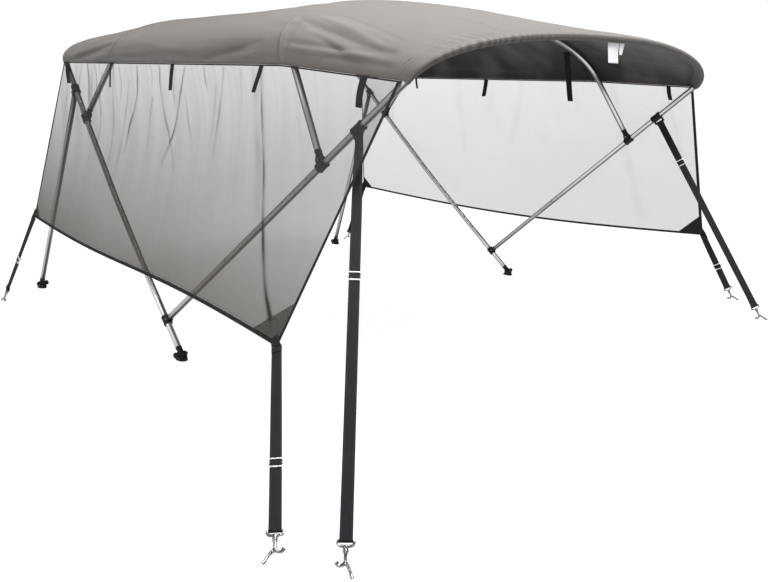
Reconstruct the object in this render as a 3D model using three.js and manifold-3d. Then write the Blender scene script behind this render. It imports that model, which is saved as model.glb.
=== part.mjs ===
import * as THREE from 'three';
import { mergeVertices } from 'three/addons/utils/BufferGeometryUtils.js';
import Module from 'manifold-3d';

// Bimini top for a small boat, set up over its four bows, with a mesh wall hung down each side.
// Millimetres. +X runs forward, +Y to port and +Z up, with the feet and the strap hooks standing on z = 0.
// Until the last lines x = 0 is at the main deck hinges and y = 0 on the centre line.

// Driving sizes
const TUBE_RADIUS = 12.7;
const TUBE_SIDES = 8;
const CANOPY_THICKNESS = 2;
const MESH_THICKNESS = 1.5;
const BINDING_WIDTH = 20;
const HEM_TAPE = 8;
const WEBBING = { width: 30, thickness: 2.4 };
const GAP = 0.3;
const ARCH_STEPS = 20;
const SAG = 5;

// The two sides of the boat. A wall's corners are where its straps pull them, which is not even from side to
// side. Its foot hangs below the straight line between them by sag, and by wave in its aft half only, and its
// middle hangs in toward the boat by hang.
const SIDES = [
  {
    name: 'starboard',
    sign: -1,
    rearFoot: [-1625, -1009],
    wallAft: [-1233, -1215, 464],
    wallFore: [975, -1547, 352],
    sag: 0,
    wave: 14,
    hang: 62,
    foreInnerShift: 42,
  },
  {
    name: 'port',
    sign: 1,
    rearFoot: [-1480, 1150],
    wallAft: [-1258, 1204, 433],
    wallFore: [1060, 1513, 359],
    sag: 45,
    wave: 0,
    hang: 45,
    foreInnerShift: 70,
  },
];

// Cross-sections of the cloth over each bow, on its outer face: the station along the boat and the height of
// the hem, the half width there, the crown, how far the bow leans forward for each millimetre of rise, and how
// square each shoulder is, where 2 is an ellipse.
const SECTIONS = [
  { bow: 'aft', x: -1155, hem: [1218, 1182], half: 1050, crown: 1402, lean: -0.3, square: [2.4, 2.1] },
  { bow: 'aft_inner', x: -740, hem: [1216, 1182], half: 1062, crown: 1453, lean: 0.53, square: [2.9, 2.3] },
  { bow: 'fore_inner', x: 505, hem: [1210, 1182], half: 1110, crown: 1488, lean: -0.18, square: [3, 2.2] },
  { bow: 'fore', x: 1095, hem: [1162, 1162], half: 1120, crown: 1350, lean: 1.06, square: [2.7, 1.8] },
];

// Soft folds pulled into the canopy. along counts sections from the aft bow, across runs from the starboard
// hem at 0 to the port hem at 1, and a fold stands up where its height is above 0 and sinks where it is below.
const FOLDS = [
  { from: { along: 2.12, across: 0.155 }, to: { along: 2.82, across: 0.082 }, width: 70, height: -13 },
  { from: { along: 2.15, across: 0.2 }, to: { along: 2.75, across: 0.11 }, width: 75, height: 9 },
  { from: { along: 2.2, across: 0.115 }, to: { along: 2.7, across: 0.06 }, width: 60, height: 8 },
  { from: { along: 2.25, across: 0.09 }, to: { along: 2.6, across: 0.05 }, width: 55, height: -8 },
  { from: { along: 0.3, across: 0.02 }, to: { along: 0.85, across: 0.07 }, width: 70, height: -9 },
  { from: { along: 0.2, across: 0.075 }, to: { along: 0.7, across: 0.12 }, width: 80, height: 8 },
  { from: { along: 1.25, across: 0.03 }, to: { along: 1.5, across: 0.02 }, width: 60, height: 6 },
  { from: { along: 1.6, across: 0.01 }, to: { along: 1.88, across: 0.045 }, width: 60, height: -7 },
  { from: { along: 2.2, across: 0.9 }, to: { along: 2.75, across: 0.94 }, width: 80, height: -9 },
  { from: { along: 0.25, across: 0.93 }, to: { along: 0.75, across: 0.95 }, width: 80, height: 8 },
];

// Upright gathers in the mesh walls. along and down run from 0 to 1 over the wall, aft to fore and hem to foot,
// and each gather dies away at the depth given by down.
const GATHERS = {
  starboard: [
    { top: 0.05, foot: 0.06, down: 0.7, width: 72, height: 9 },
    { top: 0.13, foot: 0.1, down: 0.5, width: 72, height: -8 },
    { top: 0.2, foot: 0.22, down: 0.9, width: 72, height: 8 },
    { top: 0.29, foot: 0.27, down: 0.6, width: 72, height: -9 },
    { top: 0.38, foot: 0.42, down: 1.1, width: 72, height: 8 },
    { top: 0.48, foot: 0.47, down: 0.5, width: 72, height: 8 },
    { top: 0.58, foot: 0.6, down: 0.7, width: 72, height: -7 },
    { top: 0.73, foot: 0.93, down: 1.2, width: 72, height: 12 },
  ],
  port: [
    { top: 0.12, foot: 0.1, down: 0.7, width: 72, height: 7 },
    { top: 0.35, foot: 0.4, down: 0.9, width: 80, height: -6 },
    { top: 0.55, foot: 0.52, down: 0.6, width: 72, height: 6 },
    { top: 0.8, foot: 0.85, down: 1, width: 80, height: 7 },
  ],
};

// Wall corner patches: their reach along the foot and up the edge of the wall
const PATCHES = {
  starboard: { fore: { foot: 135, edge: 105 }, aft: { foot: 60, edge: 60 } },
  port: { fore: { foot: 110, edge: 90 }, aft: { foot: 60, edge: 60 } },
};

// Where each jaw slide is clamped, as a share of the way up its leg
const JAW_SHARE = {
  starboard: { low: 0.1, aft_inner: 0.782, pole: 0.893, fore_inner: 0.714, strap: 0.845 },
  port: { low: 0.097, aft_inner: 0.8, pole: 0.915, fore_inner: 0.725, strap: 0.847 },
};

// Hold-down straps: where the claw of each hook stands, how far down the strap its slider is, whether the strap
// runs double above the slider or below it, how far and to which side the claw reaches, and how many degrees
// the strap is turned about its own length.
const STRAPS = [
  { name: 'starboard_bow', side: 0, tip: [1652, -1902], slider: 0.42, double: 'above', claw: 19, turn: 0 },
  { name: 'starboard_fore', side: 0, tip: [1446, -2010], slider: 0.68, double: 'below', claw: -31, turn: 0 },
  { name: 'starboard_aft', side: 0, tip: [-1502, -1294], slider: 0.58, double: 'below', claw: -30, turn: 50 },
  { name: 'port_bow', side: 1, tip: [1523, 1304], slider: 0.22, double: 'above', claw: 26, turn: 0 },
  { name: 'port_fore', side: 1, tip: [1253, 1628], slider: 0.6, double: 'below', claw: 26, turn: 0 },
  { name: 'port_aft', side: 1, tip: [-1580, 1340], slider: 0.45, double: 'below', claw: -26, turn: 0 },
];

// Webbing ties that hang from the hem tape: their place along the canopy, width, length and sideways swing
const TIES = [
  { name: 'tie_starboard_1', side: 0, along: 0.12, width: 26, length: 98, swing: 46 },
  { name: 'tie_starboard_2', side: 0, along: 1.03, width: 12, length: 103, swing: 24 },
  { name: 'tie_starboard_3', side: 0, along: 1.44, width: 20, length: 102, swing: 8 },
  { name: 'tie_starboard_4', side: 0, along: 1.92, width: 20, length: 94, swing: -10 },
  { name: 'tie_starboard_5', side: 0, along: 2.73, width: 26, length: 92, swing: 18 },
  { name: 'tie_port_1', side: 1, along: 1.04, width: 12, length: 48, swing: 8 },
  { name: 'tie_port_2', side: 1, along: 1.46, width: 22, length: 88, swing: -8 },
  { name: 'tie_port_4', side: 1, along: 2.78, width: 18, length: 58, swing: 4 },
];

// A longer tie hangs free under the canopy beside the forward inner bow
const FREE_TIE = { name: 'tie_port_3', along: 1.955, across: 0.845, width: 34, drop: [27, 30, -255] };

// The level direction that the width of every strap lies along
const FACING = { x: 0.745, y: 0.667 };

// Materials
const finish = (color, roughness, metalness = 0) =>
  new THREE.MeshStandardMaterial({ color, roughness, metalness, side: THREE.DoubleSide });
const CANOPY_CLOTH = finish(0x8c8782, 0.85);
const WALL_MESH = finish(0xc9c8c8, 0.9);
const WEBBING_BLACK = finish(0x2b2a30, 0.85);
const ALUMINIUM = finish(0xc3c5c8, 0.35, 0.9);
const NYLON_BLACK = finish(0x1d1d20, 0.55);
const STEEL = finish(0xd5d6d8, 0.25, 1);
const LABEL_WHITE = finish(0xf2f2f0, 0.8);

const bimini = new THREE.Group();
const solids = await Module();
solids.setup();

function add(name, geometry, material) {
  const mesh = new THREE.Mesh(geometry, material);
  mesh.name = name;
  bimini.add(mesh);
  return mesh;
}

const vec = (x, y, z) => new THREE.Vector3(x, y, z);
const mix = (a, b, share) => a.clone().lerp(b, share);
const bump = (x) => (Math.abs(x) < 1 ? Math.cos((x * Math.PI) / 2) ** 2 : 0);

// Boolean joins and cuts for the fittings
function toSolid(geometry) {
  const bare = geometry.clone();
  bare.deleteAttribute('normal');
  bare.deleteAttribute('uv');
  const merged = mergeVertices(bare, 1e-4);
  return new solids.Manifold(
    new solids.Mesh({
      numProp: 3,
      vertProperties: new Float32Array(merged.attributes.position.array),
      triVerts: new Uint32Array(merged.index.array),
    }),
  );
}

function toGeometry(solid) {
  const mesh = solid.getMesh();
  const geometry = new THREE.BufferGeometry();
  geometry.setAttribute('position', new THREE.BufferAttribute(mesh.vertProperties, 3));
  geometry.setIndex(new THREE.BufferAttribute(mesh.triVerts, 1));
  geometry.computeVertexNormals();
  return geometry;
}

function join(...geometries) {
  return geometries.map(toSolid).reduce((whole, next) => whole.add(next));
}

// A thin box with one cell for each cell of a grid, carried onto the grid. Each grid point holds the outer face
// and the direction that it looks in.
function skin(grid, thickness) {
  const rows = grid.length - 1;
  const columns = grid[0].length - 1;
  const geometry = new THREE.BoxGeometry(1, 1, 1, rows, columns, 1);
  const position = geometry.attributes.position;
  for (let i = 0; i < position.count; i++) {
    const row = Math.round((position.getX(i) + 0.5) * rows);
    const column = Math.round((position.getY(i) + 0.5) * columns);
    const { point, out } = grid[row][column];
    const carried = point.clone().addScaledVector(out, position.getZ(i) > 0 ? 0 : -thickness);
    position.setXYZ(i, carried.x, carried.y, carried.z);
  }
  // Each cell is parted along the same diagonal on its inner face as on its outer one, so that the skin keeps its
  // thickness where it twists
  const { index, groups } = geometry;
  const back = groups[5];
  for (let i = back.start; i < back.start + back.count; i += 6) {
    index.setX(i + 2, index.getX(i + 4));
    index.setX(i + 3, index.getX(i));
  }
  geometry.computeVertexNormals();
  return geometry;
}

// A round bar through a list of points, mitred at each of them
function bar(points, radius, sides, reference) {
  const steps = points.length - 1;
  const geometry = new THREE.CylinderGeometry(1, 1, 1, sides, steps);
  const position = geometry.attributes.position;
  const frames = points.map((point, k) => {
    const before = point.clone().sub(points[Math.max(k - 1, 0)]).normalize();
    const after = points[Math.min(k + 1, steps)].clone().sub(point).normalize();
    const tangent = before.clone().add(after).normalize();
    const side = reference.clone().addScaledVector(tangent, -reference.dot(tangent)).normalize();
    return { point, side, up: side.clone().cross(tangent) };
  });
  for (let i = 0; i < position.count; i++) {
    const { point, side, up } = frames[Math.round((position.getY(i) + 0.5) * steps)];
    const carried = point
      .clone()
      .addScaledVector(side, position.getX(i) * radius)
      .addScaledVector(up, position.getZ(i) * radius);
    position.setXYZ(i, carried.x, carried.y, carried.z);
  }
  geometry.computeVertexNormals();
  return geometry;
}

// A cylinder between two points, and one wide enough to clear a round of the given radius all the way round
const rod = (from, to, radius, sides = 10) => bar([from, to], radius, sides, anyAcross(from, to));
const clearRod = (from, to, radius, sides = 10) =>
  rod(from, to, (radius + GAP) / Math.cos(Math.PI / sides), sides);

function anyAcross(from, to) {
  const along = to.clone().sub(from);
  return Math.abs(along.x) > Math.abs(along.y) ? vec(0, 1, 0) : vec(1, 0, 0);
}

// Canopy surface
function archPoint(section, across) {
  const turn = across * Math.PI;
  const cosine = Math.cos(turn);
  const end = cosine >= 0 ? 0 : 1;
  const power = 2 / section.square[end];
  const rise = (section.crown - section.hem[end]) * Math.max(Math.sin(turn), 0) ** power;
  const y = -section.half * Math.sign(cosine) * Math.abs(cosine) ** power;
  return vec(section.x + section.lean * rise, y, section.hem[end] + rise);
}

function smoothPoint(along, across) {
  const index = Math.min(Math.floor(along), SECTIONS.length - 2);
  const inside = Math.min(Math.max(across, 0), 1);
  return mix(archPoint(SECTIONS[index], inside), archPoint(SECTIONS[index + 1], inside), along - index);
}

const STEP = { along: 0.012, across: 0.004 };

function canopyFrame(along, across) {
  const clampAlong = (value) => Math.min(Math.max(value, 0), SECTIONS.length - 1);
  const forward = smoothPoint(clampAlong(along + STEP.along), across).sub(
    smoothPoint(clampAlong(along - STEP.along), across),
  );
  const inside = Math.min(Math.max(across, STEP.across), 1 - STEP.across);
  const over = smoothPoint(along, inside + STEP.across).sub(smoothPoint(along, inside - STEP.across));
  return { forward: forward.normalize(), over: over.normalize(), out: forward.clone().cross(over).normalize() };
}

// How far the cloth stands off the smooth surface: folds, and a slight sag between the bows
function canopyRelief(along, across, point) {
  const share = along - Math.min(Math.floor(along), SECTIONS.length - 2);
  const free = 16 * share ** 2 * (1 - share) ** 2;
  let relief = -SAG * free * Math.sin(across * Math.PI);
  for (const { from, to, width, height } of FOLDS) {
    const start = smoothPoint(from.along, from.across);
    const run = smoothPoint(to.along, to.across).sub(start);
    const reach = point.clone().sub(start);
    const way = reach.dot(run) / run.lengthSq();
    const offset = reach.addScaledVector(run, -way).length();
    relief += height * bump(offset / width) * bump((way - 0.5) * 1.5) * Math.min(free * 2, 1);
  }
  return relief;
}

function canopyPoint(along, across) {
  const point = smoothPoint(along, across);
  const { out } = canopyFrame(along, across);
  return { point: point.addScaledVector(out, canopyRelief(along, across, point)), out };
}

// Pocket sewn round an end bow: the cloth goes on round the tube and back under itself to the seam.
// forward is 1 at the fore bow and -1 at the aft bow.
const POCKET_RADIUS = TUBE_RADIUS + 1.5 + CANOPY_THICKNESS;
const POCKET_TURNS = [30, 60, 90, 120, 150, 180];
const POCKET_TAIL = [
  { back: 15, down: POCKET_RADIUS - 0.5 },
  { back: 44, down: -7.5 },
];

function pocketFrame(along, across, forward) {
  const { over, out } = canopyFrame(along, across);
  const { point } = canopyPoint(along, across);
  const ahead = over.clone().cross(out).normalize().multiplyScalar(forward);
  return { ahead, out, centre: point.addScaledVector(out, -POCKET_RADIUS) };
}

function pocketRows(along, forward) {
  const rows = POCKET_TURNS.map(() => []);
  const tail = POCKET_TAIL.map(() => []);
  for (let step = 0; step <= ARCH_STEPS; step++) {
    const { ahead, out, centre } = pocketFrame(along, step / ARCH_STEPS, forward);
    POCKET_TURNS.forEach((degrees, k) => {
      const turn = THREE.MathUtils.degToRad(degrees);
      const look = out.clone().multiplyScalar(Math.cos(turn)).addScaledVector(ahead, Math.sin(turn));
      rows[k].push({ point: centre.clone().addScaledVector(look, POCKET_RADIUS), out: look });
    });
    POCKET_TAIL.forEach(({ back, down }, k) => {
      const look = out.clone().multiplyScalar(-1).addScaledVector(ahead, -0.35 - 0.35 * k).normalize();
      const point = centre.clone().addScaledVector(ahead, -back).addScaledVector(out, -down);
      tail[k].push({ point, out: look });
    });
  }
  return [...rows, ...tail];
}

// Canopy panels, cut at the two inner bows
const SEAM = 0.15;
const PANELS = [
  { name: 'canopy_aft_panel', from: 0, steps: 6 },
  { name: 'canopy_middle_panel', from: 1, steps: 8 },
  { name: 'canopy_fore_panel', from: 2, steps: 10 },
];

for (const { name, from, steps } of PANELS) {
  const length = SECTIONS[from + 1].x - SECTIONS[from].x;
  const low = from === 0 ? 0 : SEAM / length;
  const high = from === SECTIONS.length - 2 ? 1 : 1 - SEAM / length;
  const grid = [];
  for (let row = 0; row <= steps; row++) {
    const along = from + low + ((high - low) * row) / steps;
    grid.push(Array.from({ length: ARCH_STEPS + 1 }, (_, step) => canopyPoint(along, step / ARCH_STEPS)));
  }
  if (from === 0) grid.unshift(...pocketRows(0, -1).reverse());
  if (from === SECTIONS.length - 2) grid.push(...pocketRows(SECTIONS.length - 1, 1));
  add(name, skin(grid, CANOPY_THICKNESS), CANOPY_CLOTH);
}

// Bows: an arch inside the cloth and two legs, of which the aft bow's are bowed aft a little
const HINGE = { x: -20, y: 1212, z: 25 };
const LEG_BULGE = -35;
const LEG_PIECES = 4;
const JAW = { radius: 17.5, length: 38, stub: 14 };
const STUB_LENGTH = { low: 34, aft_inner: 58, fore_inner: 58, pole: 34, foot: 36 };
const INNER_BOW_INSET = TUBE_RADIUS + CANOPY_THICKNESS + 10;

function archCentre(index, across) {
  const end = index === 0 || index === SECTIONS.length - 1;
  if (end) return pocketFrame(index, across, index === 0 ? -1 : 1).centre;
  const { out } = canopyFrame(index, across);
  const centre = archPoint(SECTIONS[index], across).addScaledVector(out, -INNER_BOW_INSET);
  const shoulder = Math.abs(2 * across - 1) ** 3;
  if (SECTIONS[index].bow === 'fore_inner') centre.x += SIDES[across < 0.5 ? 0 : 1].foreInnerShift * shoulder;
  return centre;
}

const legTop = (index, side) => archCentre(index, side === 0 ? 0 : 1);
const hinges = SIDES.map(({ sign }) => vec(HINGE.x, sign * HINGE.y, HINGE.z));

function aftLeg(side, share) {
  const point = mix(hinges[side], legTop(0, side), share);
  const piece = Math.min(Math.floor(share * LEG_PIECES), LEG_PIECES - 1);
  const [low, high] = [piece, piece + 1].map((end) => Math.sin((end * Math.PI) / LEG_PIECES));
  point.x += LEG_BULGE * THREE.MathUtils.lerp(low, high, share * LEG_PIECES - piece);
  return point;
}

const foreFoot = (side) => aftLeg(side, JAW_SHARE[SIDES[side].name].low);
const foreLeg = (side, share) => mix(foreFoot(side), legTop(3, side), share);

// For each side, the leg that each bow's jaw is clamped to, and the point on it
const jawPoint = (side, jaw) => {
  const share = JAW_SHARE[SIDES[side].name][jaw];
  const onAft = jaw === 'low' || jaw === 'aft_inner' || jaw === 'pole';
  const leg = onAft ? aftLeg : foreLeg;
  const axis = leg(side, share + 0.01).sub(leg(side, share - 0.01)).normalize();
  return { point: leg(side, share), axis };
};

const BOWS = [
  { index: 0, foot: (side) => hinges[side], stub: STUB_LENGTH.foot, bends: [1, 2, 3] },
  { index: 1, foot: (side) => jawPoint(side, 'aft_inner').point, stub: STUB_LENGTH.aft_inner, bends: [] },
  { index: 2, foot: (side) => jawPoint(side, 'fore_inner').point, stub: STUB_LENGTH.fore_inner, bends: [] },
  { index: 3, foot: foreFoot, stub: STUB_LENGTH.low, bends: [] },
];

for (const { index, foot, stub, bends } of BOWS) {
  const legPoints = (side) => {
    const bottom = foot(side);
    const bent = bends.map((piece) => aftLeg(side, piece / LEG_PIECES));
    const first = bent.length ? bent[0] : legTop(index, side);
    const start = bottom.clone().addScaledVector(first.clone().sub(bottom).normalize(), stub + GAP);
    return [start, ...bent];
  };
  const arch = Array.from({ length: ARCH_STEPS + 1 }, (_, step) => archCentre(index, step / ARCH_STEPS));
  const points = [...legPoints(0), ...arch, ...legPoints(1).reverse()];
  add(`bow_${SECTIONS[index].bow}`, bar(points, TUBE_RADIUS, TUBE_SIDES, vec(1, 0, 0)), ALUMINIUM);
}

// Feet: a base plate with two lugs, the eye end that turns between them and goes up into the tube, and the pin
// through all three with its knob on the inboard side
const BASE = { length: 60, width: 42, height: 6 };
const LUG = { length: 26, thickness: 6, height: 36 };
const PIN = { radius: 4, knob: 8.5, knobLength: 12 };

function foot(pivot, toward, stub, inboard) {
  const base = new THREE.BoxGeometry(BASE.length, BASE.width, BASE.height);
  base.translate(pivot.x, pivot.y, BASE.height / 2);
  const stand = JAW.stub + LUG.thickness / 2;
  const lugs = [-stand, stand].map((offset) =>
    new THREE.BoxGeometry(LUG.length, LUG.thickness, LUG.height).translate(
      pivot.x,
      pivot.y + offset,
      LUG.height / 2,
    ),
  );
  const up = toward.clone().sub(pivot).normalize();
  const heel = pivot.clone().addScaledVector(up, -JAW.stub / 2);
  const eye = rod(heel, pivot.clone().addScaledVector(up, stub), JAW.stub);
  const across = (offset) => pivot.clone().add(vec(0, inboard * offset, 0));
  const pinEnd = stand + LUG.thickness;
  const pin = rod(across(-pinEnd), across(pinEnd), PIN.radius, 8);
  const knob = rod(across(pinEnd - 1), across(pinEnd + PIN.knobLength), PIN.knob);
  return toGeometry(join(base, ...lugs, eye, pin, knob));
}

const poleFeet = SIDES.map(({ rearFoot: [x, y] }) => vec(x, y, HINGE.z));

SIDES.forEach(({ name, sign }, side) => {
  const poleTop = jawPoint(side, 'pole').point;
  const way = poleTop.clone().sub(poleFeet[side]).normalize();
  const lower = poleFeet[side].clone().addScaledVector(way, STUB_LENGTH.foot + GAP);
  const upper = poleTop.clone().addScaledVector(way, -STUB_LENGTH.pole - GAP);
  add(`deck_hinge_${name}_main`, foot(hinges[side], aftLeg(side, 1 / LEG_PIECES), STUB_LENGTH.foot, -sign), NYLON_BLACK);
  add(`deck_hinge_${name}_rear`, foot(poleFeet[side], poleTop, STUB_LENGTH.foot, -sign), NYLON_BLACK);
  add(`rear_pole_${name}`, rod(lower, upper, TUBE_RADIUS, TUBE_SIDES), ALUMINIUM);
});

// Jaw slides: a sleeve clamped round a leg, and the eye end of the tube that it holds
function jawSlide(side, jaw, toward, stub) {
  const { point, axis } = jawPoint(side, jaw);
  const reach = (length) => point.clone().addScaledVector(axis, length);
  const sleeve = rod(reach(-JAW.length / 2), reach(JAW.length / 2), JAW.radius);
  const bore = clearRod(reach(-JAW.length), reach(JAW.length), TUBE_RADIUS);
  const away = toward.clone().sub(point).normalize();
  const eye = rod(point, point.clone().addScaledVector(away, stub), JAW.stub);
  return toGeometry(join(sleeve, eye).subtract(toSolid(bore)));
}

SIDES.forEach(({ name }, side) => {
  const held = [
    { jaw: 'low', toward: legTop(3, side) },
    { jaw: 'aft_inner', toward: legTop(1, side) },
    { jaw: 'fore_inner', toward: legTop(2, side) },
    { jaw: 'pole', toward: poleFeet[side] },
  ];
  for (const { jaw, toward } of held) {
    add(`jaw_${name}_${jaw}`, jawSlide(side, jaw, toward, STUB_LENGTH[jaw]), NYLON_BLACK);
  }
});

// Mesh walls. One smooth surface carries the wall, the binding round it and the patches at its corners. It is
// straight along its two edges and hangs in toward the boat between them.
const hemLine = (side, along) => {
  const point = smoothPoint(along, side);
  return point.setZ(point.z - GAP);
};
const WALL = { aft: 0.02, fore: 2.985 };

function wallSmooth(side, along, down) {
  const { sign, wallAft, wallFore, sag, wave, hang } = SIDES[side];
  const top = hemLine(side, WALL.aft + (WALL.fore - WALL.aft) * hemShare(along));
  const foot = mix(vec(...wallAft), vec(...wallFore), along);
  foot.z -= sag * Math.sin(Math.PI * along) + wave * Math.sin(2 * Math.PI * along);
  const point = mix(top, foot, down);
  point.y -= sign * hang * Math.sin(Math.PI * down) * Math.sin(Math.PI * along) ** 0.7;
  return point;
}

// The canopy's sections are not evenly spaced, so a share of the wall's length is turned into a count of them
function hemShare(share) {
  const first = SECTIONS[0].x;
  const x = first + share * (SECTIONS[3].x - first);
  const index = SECTIONS.findLastIndex((section, k) => k < 3 && x >= section.x);
  const from = Math.max(index, 0);
  return (from + (x - SECTIONS[from].x) / (SECTIONS[from + 1].x - SECTIONS[from].x)) / 3;
}

function wallPoint(side, along, down) {
  const { name, sign } = SIDES[side];
  const step = 0.004;
  const forward = wallSmooth(side, Math.min(along + step, 1), down).sub(
    wallSmooth(side, Math.max(along - step, 0), down),
  );
  const fall = wallSmooth(side, along, Math.min(down + step, 1)).sub(
    wallSmooth(side, along, Math.max(down - step, 0)),
  );
  const out = forward.cross(fall).normalize().multiplyScalar(sign);
  if (out.y * sign < 0) out.negate();
  const point = wallSmooth(side, along, down);
  const length = SECTIONS[3].x - SECTIONS[0].x;
  const free = Math.min(1, 10 * down * (1 - down), 12 * along * (1 - along));
  for (const { top, foot, down: depth, width, height } of GATHERS[name]) {
    const middle = top + (foot - top) * down;
    const fade = Math.max(0, 1 - down / depth);
    point.addScaledVector(out, height * bump(((along - middle) * length) / width) * free * Math.sqrt(fade));
  }
  return { point, out };
}

const WALL_SPAN = { length: 2230, height: 760 };
const edge = {
  along: BINDING_WIDTH / WALL_SPAN.length,
  top: HEM_TAPE / WALL_SPAN.height,
  foot: BINDING_WIDTH / WALL_SPAN.height,
};
const WALL_STEPS = { along: [6, 15, 8], down: 8 };

function wallGrid(side, alongs, downs) {
  return alongs.map((along) => downs.map((down) => wallPoint(side, along, down)));
}

const spread = (from, to, steps) => Array.from({ length: steps + 1 }, (_, k) => from + ((to - from) * k) / steps);

// The wall's columns, with one at each inner bow, where the hem turns
const shareOf = ({ x }) => (x - SECTIONS[0].x) / (SECTIONS[3].x - SECTIONS[0].x);
const columnEnds = [edge.along, shareOf(SECTIONS[1]), shareOf(SECTIONS[2]), 1 - edge.along];
const wallColumns = WALL_STEPS.along.flatMap((steps, k) =>
  spread(columnEnds[k], columnEnds[k + 1], steps).slice(k === 0 ? 0 : 1),
);
const wallRows = spread(edge.top, 1 - edge.foot, WALL_STEPS.down);

// A point on the flat cells that the wall is made of, for what lies against it
const cellColumns = [0, ...wallColumns, 1];
const cellRows = [0, ...wallRows, 1];

function wallFace(side, along, down) {
  const cell = (ends, share) => {
    const at = Math.max(ends.findLastIndex((end, k) => k < ends.length - 1 && end <= share), 0);
    return { low: ends[at], high: ends[at + 1], part: (share - ends[at]) / (ends[at + 1] - ends[at]) };
  };
  const column = cell(cellColumns, along);
  const row = cell(cellRows, down);
  const corner = (x, y) => wallPoint(side, x, y);
  const above = [corner(column.low, row.low), corner(column.high, row.low)];
  const below = [corner(column.low, row.high), corner(column.high, row.high)];
  const blend = (key) =>
    mix(mix(above[0][key], above[1][key], column.part), mix(below[0][key], below[1][key], column.part), row.part);
  return { point: blend('point'), out: blend('out').normalize() };
}

// A closed band of four-sided section, carried round the edge of the wall
function binding(side) {
  const outer = { aft: 0, fore: 1, top: 0, foot: 1 };
  const slit = GAP / WALL_SPAN.height;
  const inner = {
    aft: edge.along - GAP / WALL_SPAN.length,
    fore: 1 - edge.along + GAP / WALL_SPAN.length,
    top: edge.top - slit,
    foot: 1 - edge.foot + slit,
  };
  // One turn for each column and row of the wall, and one for each corner
  const turns = [];
  const turn = (along, down) => {
    const place = (edges) => wallPoint(side, edges[along] ?? along, edges[down] ?? down);
    turns.push([place(outer), place(inner)]);
  };
  const columns = wallColumns.slice(1, -1);
  const rows = wallRows.slice(1, -1);
  turn('aft', 'top');
  columns.forEach((along) => turn(along, 'top'));
  turn('fore', 'top');
  rows.forEach((down) => turn('fore', down));
  turn('fore', 'foot');
  columns.toReversed().forEach((along) => turn(along, 'foot'));
  turn('aft', 'foot');
  rows.toReversed().forEach((down) => turn('aft', down));
  const geometry = new THREE.TorusGeometry(1, 0.5, 4, turns.length);
  const position = geometry.attributes.position;
  for (let i = 0; i < position.count; i++) {
    const angle = Math.atan2(position.getY(i), position.getX(i));
    const at = Math.round((angle / (2 * Math.PI)) * turns.length + turns.length) % turns.length;
    const outward = Math.hypot(position.getX(i), position.getY(i)) - 1;
    const corner = (Math.round((2 * Math.atan2(position.getZ(i), outward)) / Math.PI) + 4) % 4;
    const { point, out } = turns[at][corner === 0 || corner === 1 ? 0 : 1];
    const raised = corner === 1 || corner === 2;
    const carried = point.clone().addScaledVector(out, raised ? 0 : -MESH_THICKNESS);
    position.setXYZ(i, carried.x, carried.y, carried.z);
  }
  if (SIDES[side].sign < 0) flip(geometry);
  geometry.computeVertexNormals();
  return geometry;
}

// Turns every face of a geometry to look the other way
function flip(geometry) {
  const index = geometry.index;
  for (let i = 0; i < index.count; i += 3) {
    const kept = index.getX(i + 1);
    index.setX(i + 1, index.getX(i + 2));
    index.setX(i + 2, kept);
  }
}

SIDES.forEach(({ name, sign }, side) => {
  const wall = skin(wallGrid(side, wallColumns, sign < 0 ? wallRows.toReversed() : wallRows), MESH_THICKNESS);
  add(`wall_${name}`, wall, WALL_MESH);
  add(`wall_binding_${name}`, binding(side), WEBBING_BLACK);
});

// Patches sewn on the outer face of each wall's lower corners
const PATCH = { thickness: 1.2, gap: 1, steps: 4, sweeps: 3 };

function patch(side, end) {
  const { foot, edge: up } = PATCHES[SIDES[side].name][end];
  const inward = end === 'fore' ? -1 : 1;
  const corner = { along: end === 'fore' ? 1 - edge.along : edge.along, down: 1 - edge.foot };
  const turned = (SIDES[side].sign < 0) !== (end === 'fore');
  const spans = spread(0.12, 1, PATCH.steps);
  const sweeps = spread(0, 1, PATCH.sweeps);
  const grid = spans.map((span) =>
    (turned ? sweeps : sweeps.toReversed()).map((sweep) => {
      const along = corner.along + (inward * foot * span * (1 - sweep)) / WALL_SPAN.length;
      const down = corner.down - (up * span * sweep) / WALL_SPAN.height;
      const { point, out } = wallFace(side, along, down);
      return { point: point.addScaledVector(out, PATCH.gap + PATCH.thickness), out };
    }),
  );
  return skin(grid, PATCH.thickness);
}

SIDES.forEach(({ name }, side) => {
  for (const end of ['fore', 'aft']) add(`wall_patch_${name}_${end}`, patch(side, end), WEBBING_BLACK);
});

// Ties: webbing tails sewn on at the hem tape. Those to starboard hang outside their wall, and those to port
// inside it.
const TIE = { thickness: 1.6, steps: 3, gap: 0.8, swing: 2 };

for (const { name, side, along, width, length, swing } of TIES) {
  const { sign } = SIDES[side];
  const middle = (smoothPoint(along, side).x - SECTIONS[0].x) / (SECTIONS[3].x - SECTIONS[0].x);
  const grid = spread(0, 1, TIE.steps).map((fall) =>
    [-1, 1].map((half) => {
      const shift = (swing * fall + (sign * half * width) / -2) / WALL_SPAN.length;
      const { point, out } = wallFace(side, middle + shift, 0.002 + (length * fall) / WALL_SPAN.height);
      const stand = TIE.gap + TIE.swing * fall;
      return { point: point.addScaledVector(out, sign < 0 ? stand + TIE.thickness : -MESH_THICKNESS - stand), out };
    }),
  );
  add(name, skin(grid, TIE.thickness), WEBBING_BLACK);
}

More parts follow.
